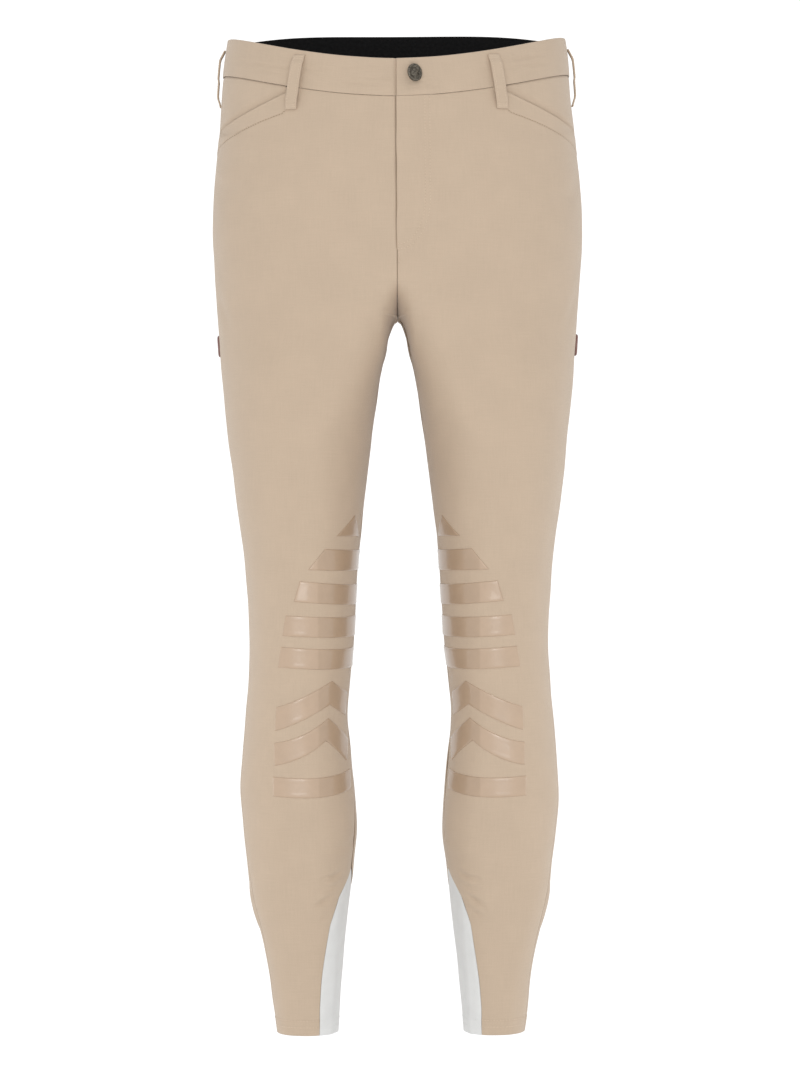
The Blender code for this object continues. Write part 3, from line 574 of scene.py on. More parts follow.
def clothArea(points):
    down, across = points[1:] - points[:-1], points[:, 1:] - points[:, :-1]
    first = np.cross(down[:, :-1], across[:-1])
    second = np.cross(down[:, 1:], across[1:])
    return float((np.linalg.norm(first, axis=-1) + np.linalg.norm(second, axis=-1)).sum() / 2.0)


def rowDistance(side, points, path):
    # signed distance from a sewn row: positive on its right-hand side, seen from outside on the left leg
    normal = smoothNormals(points)
    normal = normal * baseNormalSign(points, normal) * side
    best, sign = np.full(points.shape[:2], 1.0), np.ones(points.shape[:2])
    for a, b in zip(path[:-1], path[1:]):
        along = b - a
        t = np.clip((points - a) @ along / (along @ along), 0.0, 1.0)
        offset = points - a - t[..., None] * along
        gone = np.linalg.norm(offset, axis=-1)
        near = gone < best
        turn = np.sign((np.cross(along, normal) * offset).sum(axis=-1))
        best, sign = np.where(near, gone, best), np.where(near, turn, sign)
    return best * sign


def nearerRow(a, b):
    return np.where(np.abs(b) < np.abs(a), b, a)


sewing = {"far": 0.010, "offset": 0.020, "groove": 0.00048, "faint": 0.00055, "hemMiddle": 0.01165,
          "hemHalf": 0.00335, "flyMiddle": 0.0299, "flyHalf": 0.0024, "flyTurn": -0.168,
          "flyFoot": -0.2133}


def sewnMark(distance):
    # the mark sets where the cloth finishes paint shade and sink a bump along sewn rows
    # stored with an offset, so that a piece without this attribute shows no row;
    # a row whose distance stops short of 0 by the faint value shows weakly
    return np.clip(distance, -sewing["far"], sewing["far"]) + sewing["offset"]


def hemRows(foot):
    return np.abs(np.abs(foot - sewing["hemMiddle"]) - sewing["hemHalf"]) + sewing["faint"]


def upToMillimetre(length):
    return math.ceil(float(length) * 1000.0) / 1000.0


def stripCut(points):
    # a strip is cut straight, so its size is the grid's own length and depth
    across, down = runs(points)
    return (upToMillimetre(across[:, -1].max()), upToMillimetre(down[-1].max())), clothArea(points)


def shapedCut(share, z, points, line):
    # a shaped cut lies in a rectangle, measured round the cloth from one upright line of it
    steps = np.linspace(0.0, 1.0, 33)

    def reach(edge):
        out = (share[:, edge, None] - line) * steps
        round_ = baseSurface(line + out, z[:, edge, None] + 0.0 * steps)
        length = np.linalg.norm(np.diff(round_, axis=1), axis=-1).sum(axis=1)
        return np.where(share[:, edge] < line, -length, length)

    height = np.linspace(z.max(), z.min(), 200)
    tall = np.linalg.norm(np.diff(baseSurface(line + 0.0 * height, height), axis=0), axis=-1).sum()
    ends = np.concatenate([reach(0), reach(-1)])
    return (upToMillimetre(ends.max() - ends.min()), upToMillimetre(tall)), clothArea(points)


def fitOn(piece, node):
    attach(piece, "root")
    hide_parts(node)


def sewIn(piece, node, cut):
    fitOn(piece, node)


# Finishes
def plug(tree, socket, value):
    # a socket takes another one's output or a plain value
    if isinstance(value, bpy.types.NodeSocket):
        tree.links.new(value, socket)
    else:
        socket.default_value = value


def newFinish(name, colour, roughness, **sockets):
    material = bpy.data.materials.new(name)
    material.use_nodes = True
    tree = material.node_tree
    shader = tree.nodes["Principled BSDF"]
    plug(tree, shader.inputs["Base Color"], (*colour, 1.0))
    plug(tree, shader.inputs["Roughness"], roughness)
    for key, value in sockets.items():
        plug(tree, shader.inputs[key.replace("_", " ")], value)
    return material, shader, tree


def addNode(tree, kind, **values):
    node = tree.nodes.new(kind)
    for key, value in values.items():
        if hasattr(node, key):
            setattr(node, key, value)
        else:
            plug(tree, node.inputs[key.replace("_", " ")], value)
    return node


def mathNode(tree, operation, *values):
    node = addNode(tree, "ShaderNodeMath", operation=operation)
    for socket, value in zip(node.inputs, values):
        plug(tree, socket, value)
    return node.outputs[0]


def mottle(tree, source, colour, spread, scale, detail=3.0):
    # colour that wanders a little either side of its own value
    noise = addNode(tree, "ShaderNodeTexNoise", Vector=source, Scale=scale, Detail=detail, Roughness=0.55)
    ramp = addNode(tree, "ShaderNodeValToRGB", Fac=noise.outputs["Fac"])
    for stop, position, change in zip(ramp.color_ramp.elements, (0.3, 0.7), (-spread, spread)):
        stop.position = position
        stop.color = (*[min(c * (1.0 + change), 1.0) for c in colour], 1.0)
    return ramp.outputs["Color"]


def multiplied(tree, colour, by, amount=1.0):
    mix = addNode(tree, "ShaderNodeMix", data_type="RGBA", blend_type="MULTIPLY")
    for number, value in ((0, amount), (6, colour), (7, by)):
        plug(tree, mix.inputs[number], value)
    return mix.outputs[2]


def bumpOn(tree, shader, height, distance, strength=1.0, under=None):
    bump = addNode(tree, "ShaderNodeBump", Distance=distance, Strength=strength, Height=height)
    if under is not None:
        tree.links.new(under, bump.inputs["Normal"])
    tree.links.new(bump.outputs["Normal"], shader.inputs["Normal"])


def wave(tree, source, pitch, direction):
    # one ridge for each pitch, in metres
    scale = 2.0 * math.pi / (20.0 * pitch)
    node = addNode(tree, "ShaderNodeTexWave", wave_type="BANDS", bands_direction=direction,
                   Scale=scale, Distortion=0.0, Vector=source)
    return node.outputs["Fac"]


def wavesBoth(tree, source, first, second):
    return mathNode(tree, "ADD", wave(tree, source, first, "X"), wave(tree, source, second, "Y"))


def streaks(tree, source, stretch, spread):
    # long uneven threads: a noise drawn out along one direction
    mapped = addNode(tree, "ShaderNodeMapping", Scale=(*stretch, 1.0), Vector=source)
    return mottle(tree, mapped.outputs["Vector"], (1.0, 1.0, 1.0), spread, 1100.0, 2.0)


def sewnGroove(tree):
    # 1 along a sewn row, 0 away from it
    mark = addNode(tree, "ShaderNodeAttribute", attribute_name="sewLine").outputs["Fac"]
    scaled = mathNode(tree, "DIVIDE", mathNode(tree, "SUBTRACT", mark, sewing["offset"]), sewing["groove"])
    squared = mathNode(tree, "MULTIPLY", scaled, scaled)
    return mathNode(tree, "EXPONENT", mathNode(tree, "MULTIPLY", squared, -1.0))


def paintedRowShadeAndSink(tree, shader, colour, look):
    # paints shade into the colour along the sewn rows, where the sunk line would fall dark, and gives back
    # the bump that sinks them
    groove = sewnGroove(tree)
    # painted shade: the colour along each sewn row is multiplied by the groove colour
    shaded = multiplied(tree, colour, (*look["groove"], 1.0), groove)
    tree.links.new(shaded, shader.inputs["Base Color"])
    bump = addNode(tree, "ShaderNodeBump", invert=True, Distance=look["grooveDepth"], Height=groove)
    return bump.outputs["Normal"]


def clothPlace(tree):
    return addNode(tree, "ShaderNodeUVMap", uv_map="clothMetres").outputs["UV"]


# "groove" is the painted shade colour of the sewn rows; "grooveDepth" is how far their bump sinks them
clothLook = {"colour": (0.579, 0.451, 0.333), "mottle": 0.02, "speckle": 0.03, "slub": 0.035,
             "thread": 0.00042, "twill": 0.0011, "twillTurn": 58.0, "sheen": 0.30, "roughness": 0.82,
             "bump": 0.00005, "groove": (0.66, 0.61, 0.55), "grooveDepth": 0.00022}


def makeClothFinish():
    look = clothLook
    material, shader, tree = newFinish(
        "beige_stretch_twill", look["colour"], look["roughness"], Specular_IOR_Level=0.25,
        Sheen_Weight=look["sheen"], Sheen_Roughness=0.45, Sheen_Tint=(1.0, 0.97, 0.93, 1.0))
    uv = clothPlace(tree)
    colour = mottle(tree, uv, look["colour"], look["mottle"], 26.0)
    colour = multiplied(tree, colour, mottle(tree, uv, (1.0, 1.0, 1.0), look["speckle"], 900.0, 2.0))
    for stretch in ((1.0, 0.04), (0.04, 1.0)):
        colour = multiplied(tree, colour, streaks(tree, uv, stretch, look["slub"]))
    under = paintedRowShadeAndSink(tree, shader, colour, look)
    turn = addNode(tree, "ShaderNodeMapping", Vector=uv, Rotation=(0.0, 0.0, math.radians(look["twillTurn"])))
    twill = wave(tree, turn.outputs["Vector"], look["twill"], "X")
    threads = wavesBoth(tree, uv, look["thread"], look["thread"])
    bumpOn(tree, shader, mathNode(tree, "ADD", threads, twill), look["bump"], 0.7, under)
    return material


# "groove" is the painted shade colour of the sewn rows; "grooveDepth" is how far their bump sinks them
insetLook = {"colour": (0.735, 0.735, 0.722), "rib": 0.0011, "loop": 0.00077, "roughness": 0.75,
             "bump": 0.00010, "sheen": 0.25, "groove": (0.84, 0.84, 0.84), "grooveDepth": 0.0002}


def makeInsetFinish():
    look = insetLook
    material, shader, tree = newFinish(
        "white_rib_knit", look["colour"], look["roughness"], Specular_IOR_Level=0.3,
        Sheen_Weight=look["sheen"], Sheen_Roughness=0.4)
    uv = clothPlace(tree)
    under = paintedRowShadeAndSink(tree, shader, mottle(tree, uv, look["colour"], 0.025, 60.0), look)
    bumpOn(tree, shader, wavesBoth(tree, uv, look["rib"], look["loop"]), look["bump"], 0.8, under)
    return material


elasticLook = {"colour": (0.0105, 0.0105, 0.011), "rib": 0.0013, "thread": 0.0006, "roughness": 0.85,
               "bump": 0.00018}


def makeElasticFinish():
    look = elasticLook
    material, shader, tree = newFinish("black_ribbed_elastic", look["colour"], look["roughness"],
                                       Specular_IOR_Level=0.08)
    uv = clothPlace(tree)
    tree.links.new(mottle(tree, uv, look["colour"], 0.25, 300.0), shader.inputs["Base Color"])
    bumpOn(tree, shader, wavesBoth(tree, uv, look["thread"], look["rib"]), look["bump"], 0.9)
    return material


# the "inner" colour is painted shade over the grips near the middle of the body, where they turn towards the
# other leg and reflect its darker cloth; it ends at the x given after it and fades in over "fade"
gripLook = {"colour": (0.486, 0.350, 0.243), "inner": (0.90, 0.89, 0.87), "paintedShadeX": 0.0795,
            "fade": 0.003, "roughness": 0.34, "coat": 0.40, "coatRoughness": 0.05}


def noiseAt(tree, place, scale, detail):
    return addNode(tree, "ShaderNodeTexNoise", Vector=place, Scale=scale, Detail=detail).outputs["Fac"]


def makeGripFinish():
    look = gripLook
    material, shader, tree = newFinish(
        "beige_silicone", look["colour"], look["roughness"], Specular_IOR_Level=0.5,
        Coat_Weight=look["coat"], Coat_Roughness=look["coatRoughness"])
    place = addNode(tree, "ShaderNodeTexCoord").outputs["Object"]
    parts = addNode(tree, "ShaderNodeSeparateXYZ", Vector=place)
    # painted shade: close to the middle of the body the grips' colour is multiplied by the inner colour; the
    # coat's real reflections darken them there as well
    inside = addNode(tree, "ShaderNodeMapRange", interpolation_type="SMOOTHSTEP",
                     Value=mathNode(tree, "ABSOLUTE", parts.outputs["X"]),
                     From_Min=look["paintedShadeX"] + look["fade"] / 2.0,
                     From_Max=look["paintedShadeX"] - look["fade"] / 2.0)
    colour = mottle(tree, place, look["colour"], 0.03, 90.0)
    shaded = multiplied(tree, colour, (*look["inner"], 1.0), inside.outputs["Result"])
    tree.links.new(shaded, shader.inputs["Base Color"])
    bumpOn(tree, shader, noiseAt(tree, place, 420.0, 2.0), 0.00010, 0.4)
    return material


def makeSmallFinish(name, colour, roughness, spread, scale, grain, **sockets):
    # grain is the bump's scale, detail, distance and strength, or nothing for a spun thread
    material, shader, tree = newFinish(name, colour, roughness, **sockets)
    place = addNode(tree, "ShaderNodeTexCoord").outputs["Object"]
    tree.links.new(mottle(tree, place, colour, spread, scale), shader.inputs["Base Color"])
    if grain:
        bumpOn(tree, shader, noiseAt(tree, place, grain[0], grain[1]), grain[2], grain[3])
    else:
        bumpOn(tree, shader, wave(tree, place, 0.0005, "DIAGONAL"), 0.00004)
    return material


def makeThreadFinish(name, colour):
    return makeSmallFinish(name, colour, 0.55, 0.06, 1500.0, None, Specular_IOR_Level=0.4, Sheen_Weight=0.2)


clothFinish = makeClothFinish()
insetFinish = makeInsetFinish()
elasticFinish = makeElasticFinish()
gripFinish = makeGripFinish()
threadFinish = makeThreadFinish("beige_thread", (0.66, 0.530, 0.400))
whiteThreadFinish = makeThreadFinish("white_thread", (0.74, 0.74, 0.73))
metalFinish = makeSmallFinish("dark_antique_metal", (0.110, 0.098, 0.080), 0.32, 0.75, 650.0,
                              (1400.0, 3.0, 0.00010, 0.8), Metallic=1.0)
tabFinish = makeSmallFinish("brown_rubber", (0.22, 0.115, 0.10), 0.42, 0.10, 200.0,
                            (900.0, 2.0, 0.00006, 0.5))
print("finishes made")

# Body panels
panelDetail = {"across": 0.0024, "down": 0.0030, "width": 0.235, "line": 0.25, "wall": 0.95,
               "hemTurn": 0.0165, "hemThick": 0.00035, "hemStep": 0.0012, "foldRadius": 0.0008,
               "mouthRidge": 0.0005, "ridgeWidth": 0.0035, "mouthFade": 0.004,
               "pocketThick": 0.00035, "pocketStep": 0.0015, "pocketStart": 0.13,
               "pocketTurn": 0.65, "pocketLow": 0.0150, "calm": 0.008,
               "crotchRows": (0.0017, 0.0010, 0.0005, 0.0002, 0.00005, 0.0, -0.0002, -0.0006, -0.0012)}


def pocketDrop(t):
    # how far the sewn row lies below the pocket mouth
    turn = panelDetail["pocketTurn"]
    more = np.where(t < turn, 0.0060 * (1.0 - t / turn) ** 2, 0.0028 * ((t - turn) / (1.0 - turn)) ** 2)
    return (panelDetail["pocketLow"] + more) * smoothStep(t / panelDetail["pocketStart"])


def pocketLine(t):
    share = mouthStart + (0.5 - mouthStart) * t
    return share, heightOf(mouthRow(share), share) - pocketDrop(t)


def flyLine(shift):
    # down beside the fly, then round to the centre seam; shift moves the row outwards
    turn, foot, middle = sewing["flyTurn"], sewing["flyFoot"], sewing["flyMiddle"]
    straight = np.linspace(float(waistZ(np.array(0.05))) + 0.001, turn, 60)
    angle = np.linspace(0.0, np.pi / 2.0, 30)[1:]
    wide, tall = middle - 0.0012, turn - foot
    out = np.stack([np.cos(angle) / wide, -np.sin(angle) / tall], axis=-1)
    out = out / np.linalg.norm(out, axis=-1, keepdims=True)
    x = np.concatenate([np.full(60, middle + shift), 0.0012 + wide * np.cos(angle) + shift * out[:, 0]])
    z = np.concatenate([straight, turn - tall * np.sin(angle) + shift * out[:, 1]])
    keep = x > 0.0002
    return np.array([shareAt(a, b) for a, b in zip(x[keep], z[keep])]), z[keep]


def panelRows():
    # extra rows where the crotch turns quickly
    top, foot = waistRow, shape["hemZ"]
    rows = top + (foot - top) * stops(top - foot, panelDetail["down"])
    return np.sort(np.concatenate([rows, shape["crotchZ"] + np.array(panelDetail["crotchRows"])]))[::-1]


def panelGrid(back):
    rows = panelRows()
    level = heightOf(rows, 0.5)
    half = shape["seam"] / 2.0
    sideShare = alongTable(seams, level, 2)
    if back:
        start = sideShare + half / strideAt(0.5, level)
        end = 1.0 + innerEdge(level, 1)
        end = np.where(level < shape["crotchZ"], beside(end, level, half, -1.0), end)
    else:
        start = innerEdge(level, 0)
        start = np.where(level < shape["crotchZ"], beside(start, level, half, 1.0), start)
        toSide = sideShare - half / strideAt(0.5, level)
        end = np.where(rows > shape["mouthLow"], mouthShare(rows), toSide)
    share = between(start, end, stops(panelDetail["width"], panelDetail["across"]))
    z = heightOf(rows[:, None], share)
    z[0] -= shape["seam"]
    return share, z


def frontRows(side, flat, z):
    # distance from every point of a front to its nearest sewn row
    high = int((z.max(axis=1) > -0.24).sum())
    pocket, fly = np.full(z.shape, 0.05), np.full(z.shape, 0.05)
    path = onCloth(side, *pocketLine(np.linspace(0.0, 1.03, 70)), np.zeros(70))
    pocket[:high] = rowDistance(side, flat[:high], path)
    rows = pocket
    if side > 0:
        share, height = flyLine(0.0)
        path = onCloth(side, share, height, 0.0 * share)
        fly[:high] = np.abs(rowDistance(side, flat[:high], path))
        rows = nearerRow(rows, np.abs(fly - sewing["flyHalf"]) + sewing["faint"])
    return rows, pocket


def panel(side, label, back):
    detail = panelDetail
    share, z = panelGrid(back)
    flat = onCloth(side, share, z, 0.0 * share)
    left, right, top, foot = fromEdges(flat)
    out = clothRelief(side, share, z)
    rows, lapped = hemRows(foot), 0.0
    if not back:
        front, pocket = frontRows(side, flat, z)
        rows = nearerRow(front, rows)
        out = out + detail["pocketThick"] * smoothStep(-pocket / detail["pocketStep"])
        mouth = smoothStep((panelRows()[:, None] - shape["mouthLow"] - 0.002) / detail["mouthFade"])
        out = out + detail["mouthRidge"] * mouth * bellAt(right, 0.0, detail["ridgeWidth"])
        right = np.where(mouth > 0.5, right + 1.0, right)
        lapped = smoothStep((z - flyCut["end"]) / 0.004)
    # painted shade: the panel's seams count as sewn rows, so the finish darkens the cloth along its edges as
    # well
    seam = np.minimum(left + np.where(lapped > 0.5, 1.0, 0.0), right)
    rows = np.where(seam < np.abs(rows), np.sign(rows) * seam, rows)
    out = out + turnedEdge(left) * (1.0 - lapped) + turnedEdge(right) + turnedEdge(top)
    out = out + detail["hemThick"] * smoothStep((detail["hemTurn"] - foot) / detail["hemStep"])
    out = out + turnedEdge(foot, detail["foldRadius"], 0.0)
    if not back and side > 0:
        out = out + lapped * turnedEdge(left, detail["foldRadius"], 0.0)
    if not back and side < 0:
        out = out - lapped * flyCut["under"] * bellAt(left, 0.0, flyCut["trough"])
        # painted shadow: the right front's edge under the lap gets a narrow sewn-row mark, so the finish
        # darkens it as the lap's shadow would
        rows = np.where((lapped > 0.5) & (left < 0.002), 0.55 * left, rows)
    # the four panels meet in one point at the crotch
    meeting = np.linalg.norm(flat - baseSurface(0.0, shape["crotchZ"]), axis=-1)
    out = out * smoothStep(meeting / detail["calm"])
    points = onCloth(side, share, z, out)
    if not back and side > 0:
        waver = 0.5 + 0.5 * np.sin(47.0 * z + 0.8) * np.cos(113.0 * z)
        points[..., 0] -= flyCut["waver"] * waver * lapped * bellAt(left, 0.0, 0.004)
    part = "back" if back else "front"
    line = 1.0 - detail["line"] if back else detail["line"]
    uv, wall = clothUv(share, z, line), shape["cloth"] * detail["wall"]
    piece = shell(part + label, points, wall, clothFinish, uv, sewnMark(rows))
    label = label.lower()
    sewIn(piece, part + "_" + label, shapedCut(share, z, points, line))


for side, label in sides:
    panel(side, label, False)
    panel(side, label, True)
print("fronts and backs made")

# Ankle insets
# the channels that the ribs sink or rise in have a weight, a share and a width
insetDetail = {"across": 0.0012, "down": 0.0024, "width": 0.060, "height": 0.163, "blunt": 0.0018,
               "wall": 0.9, "narrow": 0.006, "foldRadius": 0.0007, "channel": 0.0009,
               "channelFade": 0.05, "hemThick": 0.0002,
               "channels": ((-1.0, 0.055, 0.022), (0.7, 0.110, 0.018), (-0.6, -0.035, 0.020))}


def ankleInset(side, label):
    detail = insetDetail
    point = shape["insetTop"] - detail["blunt"]
    rows = point + (shape["hemZ"] - point) * stops(detail["height"], detail["down"])
    gap = shape["seam"] / strideAt(0.0, rows)
    start, end = insetEdge(rows, 1) + gap / 2.0, insetEdge(rows, 0) - gap / 2.0
    share = between(start, end, stops(detail["width"], detail["across"]))
    z = rows[:, None] + 0.0 * share
    left, right, _, foot = fromEdges(onCloth(side, share, z, 0.0 * share))
    narrow = smoothStep(left[:, -1:] / detail["narrow"])
    out = narrow * (turnedEdge(left) + turnedEdge(right)) + turnedEdge(foot, detail["foldRadius"], 0.0)
    out = out + swayAt(side, share, z)
    out = out + detail["hemThick"] * smoothStep((panelDetail["hemTurn"] - foot) / panelDetail["hemStep"])
    fade = smoothStep((shape["insetTop"] - z) / detail["channelFade"])
    for weight, middle, width in detail["channels"]:
        out = out + weight * detail["channel"] * fade * bellAt(share, middle, width)
    points = onCloth(side, share, z, out)
    line, wall = insetEdges[0][0], shape["cloth"] * detail["wall"]
    uv = clothUv(share, z, line)
    piece = shell("ankleInset" + label, points, wall, insetFinish, uv, sewnMark(hemRows(foot)))
    cut = shapedCut(share, z, points, line)
    sewIn(piece, "ankle_inset_" + label.lower(), cut)


for side, label in sides:
    ankleInset(side, label)
print("ankle insets made")

# Pocket facings
facingDetail = {"rows": 31, "columns": 34, "lap": 0.005, "sink": 0.0010, "step": 0.0010,
                "ramp": 0.018, "wide": 0.010, "wall": 0.0011}


def pocketFacing(side, label):
    detail = facingDetail
    shares = mouthStart + (0.5 - mouthStart) * np.linspace(0.0, 1.0, detail["rows"])
    rows = mouthRow(shares)
    level = heightOf(rows, 0.5)
    mouth = mouthShare(rows)
    rate = strideAt(mouth, level)
    end = 0.5 - shape["seam"] / 2.0 / strideAt(0.5, level)
    start = mouth - detail["lap"] / rate
    share = between(start, end, np.linspace(0.0, 1.0, detail["columns"]))
    z = heightOf(rows[:, None], share)
    z[0] -= shape["seam"]
    past = (share - mouth[:, None]) * rate[:, None] - detail["step"]
    sunk = 1.0 - smoothStep(past / detail["ramp"])
    left, right, top, _ = fromEdges(onCloth(side, share, z, 0.0 * share))
    wide = smoothStep(left[:, -1:] / detail["wide"])
    out = swayAt(side, share, z) - (shape["cloth"] + detail["sink"]) * sunk
    out = out + wide * turnedEdge(right) + turnedEdge(top)
    points = onCloth(side, share, z, out)
    piece = shell("pocketFacing" + label, points, detail["wall"], clothFinish, clothUv(share, z, 0.5))
    cut = shapedCut(share, z, points, 0.5)
    sewIn(piece, "pocket_facing_" + label.lower(), cut)


for side, label in sides:
    pocketFacing(side, label)
print("pocket facings made")


# Strip behind the fly
stripDetail = {"foot": -0.2015, "past": 0.010, "rows": 61, "columns": 19}


def flyStrip():
    detail = stripDetail
    rows = np.linspace(float(waistZ(np.array(0.0))) - 0.001, detail["foot"], detail["rows"])
    start = np.array([-shareAt(detail["past"], z) for z in rows])
    end = np.array([shareAt(flyCut["reach"], z) for z in rows])
    share = between(start, end, np.linspace(0.0, 1.0, detail["columns"]))
    z = rows[:, None] + 0.0 * share
    points = onCloth(1, share, z, -(shape["cloth"] + 1.5 * shape["gap"]) + 0.0 * share, False)
    piece = shell("flyStrip", points, facingDetail["wall"], clothFinish)
    sewIn(piece, "fly_underlap", stripCut(points))


flyStrip()

# Waistband
bandLook = {"out": 0.0008, "in": 0.0008, "down": 0.0022, "across": 0.0030, "length": 0.47,
            "stepBack": 0.15, "foldTop": 0.0008, "foldEnd": 0.0007, "wall": 0.92}
lapShare = shareAt(flyCut["reach"], float(waistZ(np.array(0.0))))


def bandRows():
    return stops(shape["bandHeight"], bandLook["down"])


def bandRelief(side, share, z):
    return swayAt(side, share, z) - foldDepth(side, share, z, bandFolds)


def bandShares(first):
    return first + (1.0 - first) * stops(bandLook["length"], bandLook["across"])


def waistband(side, label):
    first = -lapShare if side < 0 else 0.0
    share = bandShares(first)[None, :] + np.zeros((len(bandRows()), 1))
    z = rimZ(share) + (waistZ(share) - rimZ(share)) * bandRows()[:, None]
    lap = bandLook["out"] + bandLook["in"] + shape["gap"]
    back = bandLook["stepBack"] * lapShare
    drop = lap * smoothStep((back - share) / back) if side < 0 else 0.0
    left, right, top, foot = fromEdges(onCloth(side, share, z, 0.0 * share, False))
    rolled = turnedEdge(top, bandLook["foldTop"], 0.0) + turnedEdge(foot)
    rolled = rolled + turnedEdge(left, bandLook["foldEnd"], 0.0) + turnedEdge(right)
    out = bandLook["out"] - drop + rolled + bandRelief(side, share, z)
    points = onCloth(side, share, z, out, side > 0)
    if side < 0:
        points[:, -1, 0] = np.minimum(points[:, -1, 0], -shape["seam"] / 2.0)
    wall = (bandLook["out"] + bandLook["in"]) * bandLook["wall"]
    piece = shell("waistband" + label, points, wall, clothFinish)
    sewIn(piece, "waistband_" + label.lower(), stripCut(points))


for side, label in sides:
    waistband(side, label)


elasticDetail = {"past": 1.06, "top": 0.0002, "foot": -0.0012, "depth": 0.0358, "thick": 0.0011,
                 "wall": 0.0010, "ribs": 27.0, "ribHeight": 0.00012}


def innerElastic():
    detail = elasticDetail
    right = bandShares(lapShare / 2.0)
    left = bandShares(detail["past"] * lapShare)[::-1][1:]
    share = np.concatenate([right, 2.0 - left])
    while (len(share) - 1) % coarse:
        share = np.insert(share, 1, (share[0] + share[1]) / 2.0)
    own = np.where(share > 1.0, 2.0 - share, share)
    top, foot = rimZ(own) - detail["top"], waistZ(own) + detail["foot"]
    rows = stops(detail["depth"], bandLook["down"])
    share = share[None, :] + np.zeros((len(rows), 1))
    z = top[None, :] + (foot - top)[None, :] * rows[:, None]
    into = -(bandLook["in"] + shape["gap"])
    outside = onCloth(-1, share, z, into + 0.0 * share, False)
    rib = detail["ribHeight"] * np.sin(2.0 * np.pi * rows[:, None] * detail["ribs"])
    inside = onCloth(-1, share, z, into - detail["thick"] + rib + 0.0 * share, False)
    # the fine side of this one is the side towards the wearer
    piece = shell("waistElastic", inside, -detail["wall"], elasticFinish)
    sewIn(piece, "waistband_elastic", stripCut(outside))


innerElastic()
print("waistband made")

# Belt loops
loopLook = {"width": 0.012, "length": 0.058, "thick": 0.0018, "gap": 0.0032, "top": 0.005,
            "tail": 0.0225, "rise": 0.2, "sideTop": 0.0095, "sideTail": 0.029, "headX": 0.094,
            "lean": 0.008, "step": 0.004, "rowIn": 0.0022, "puff": 0.00035, "foldRadius": 0.0008,
            "rowDip": 0.00006, "rowWidth": 0.0007, "wall": 0.9}


def loopSpine(head, foot, along):
    share = head + (foot - head) * along
    onSide = head == 0.5
    zHead = float(rimZ(np.array(head))) - loopLook["sideTop" if onSide else "top"]
    zFoot = float(waistZ(np.array(foot))) - loopLook["sideTail" if onSide else "tail"]
    z = zHead + (zFoot - zHead) * along
    overBand = smoothStep((z - waistZ(share) + loopLook["step"]) / loopLook["step"])
    stand = smoothStep(along / loopLook["rise"]) * smoothStep((1.0 - along) / loopLook["rise"])
    return share, z, shape["gap"] + bandLook["out"] * overBand + loopLook["gap"] * stand


def loopPoints(side, head, foot, along, acrossFrom, lift):
    share, z, base = loopSpine(head, foot, along)
    return onCloth(side, share + acrossFrom / strideAt(share, z), z, base + lift, False)


def beltLoop(words, side, head, foot):
    look = loopLook
    along = stops(look["length"], 0.0012)[:, None]
    across = stops(look["width"], 0.0008, (0.0, 0.0003, 0.0007, 0.0013))[None, :]
    offset = look["width"] * (across - 0.5)
    edge = look["width"] * (0.5 - np.abs(across - 0.5))
    end = look["length"] * np.minimum(along, 1.0 - along)
    sewn = np.minimum(edge, end - look["rowIn"]) - look["rowIn"]
    puff = look["puff"] * np.sin(np.pi * across) + turnedEdge(edge, look["foldRadius"], 0.0)
    lift = look["thick"] + puff - look["rowDip"] * bellAt(sewn, 0.0, look["rowWidth"])
    lift = lift + turnedEdge(end, look["foldRadius"], 0.0)
    points = loopPoints(side, head, foot, along, offset, lift)
    # the faint sewn mark gives the loop's rows a light painted shade in the cloth finish
    rows, name = sewnMark(np.abs(sewn) + sewing["faint"]), "beltLoop" + "".join(words)
    piece = shell(name, points, look["thick"] * look["wall"], clothFinish, sewn=rows)
    node = "_".join(("belt_loop",) + words).lower()
    sewIn(piece, node, stripCut(points))


headShare = shareAt(loopLook["headX"], float(rimZ(np.array(0.25))))
footShare = shareAt(loopLook["headX"] + loopLook["lean"], float(waistZ(np.array(0.25))))
loopPlaces = [((part, label), side, head, foot)
              for part, head, foot in (("Front", headShare, footShare), ("Side", 0.5, 0.5))
              for side, label in sides] + [(("Back",), 1, 1.0, 1.0)]
for place in loopPlaces:
    beltLoop(*place)
print("belt loops made")

# Knee grips
# top, depth, start top, start bottom, end top, end bottom, rise, peak, drop, sag
grips = [
    (-0.4745, 0.0205, 0.0370, 0.0185, 0.0380, 0.0650, 0.0, 0.5, 0.0, 0.0),
    (-0.5075, 0.0205, -0.0150, -0.0150, 0.0780, 0.0955, 0.0, 0.5, 0.0, 0.0010),
    (-0.5420, 0.0200, -0.0150, -0.0150, 0.1033, 0.1071, 0.0, 0.5, -0.0030, 0.0020),
    (-0.5725, 0.0200, -0.0150, -0.0150, 0.1146, 0.1160, 0.0, 0.5, 0.0, 0.0025),
    (-0.6035, 0.0200, -0.0150, -0.0150, 0.1163, 0.1170, 0.0, 0.5, 0.0, 0.0030),
    (-0.6495, 0.0235, 0.0180, 0.0180, 0.1130, 0.1145, 0.0116, 0.33, 0.0135, 0.0),
    (-0.6960, 0.0225, 0.0150, 0.0240, 0.1165, 0.1180, 0.0215, 0.36, 0.0023, 0.0),
    (-0.7265, 0.0195, 0.0190, 0.0220, 0.1207, 0.1216, 0.0, 0.5, 0.0054, 0.0042),
]
gripDetail = {"plateau": 0.0007, "bead": 0.00018, "beadAt": 0.0024, "beadWidth": 0.0009,
              "round": 0.0010, "mesh": 0.0024, "wall": 0.0012,
              "edge": (0.0, 0.00025, 0.0006, 0.0011, 0.0016, 0.0022)}


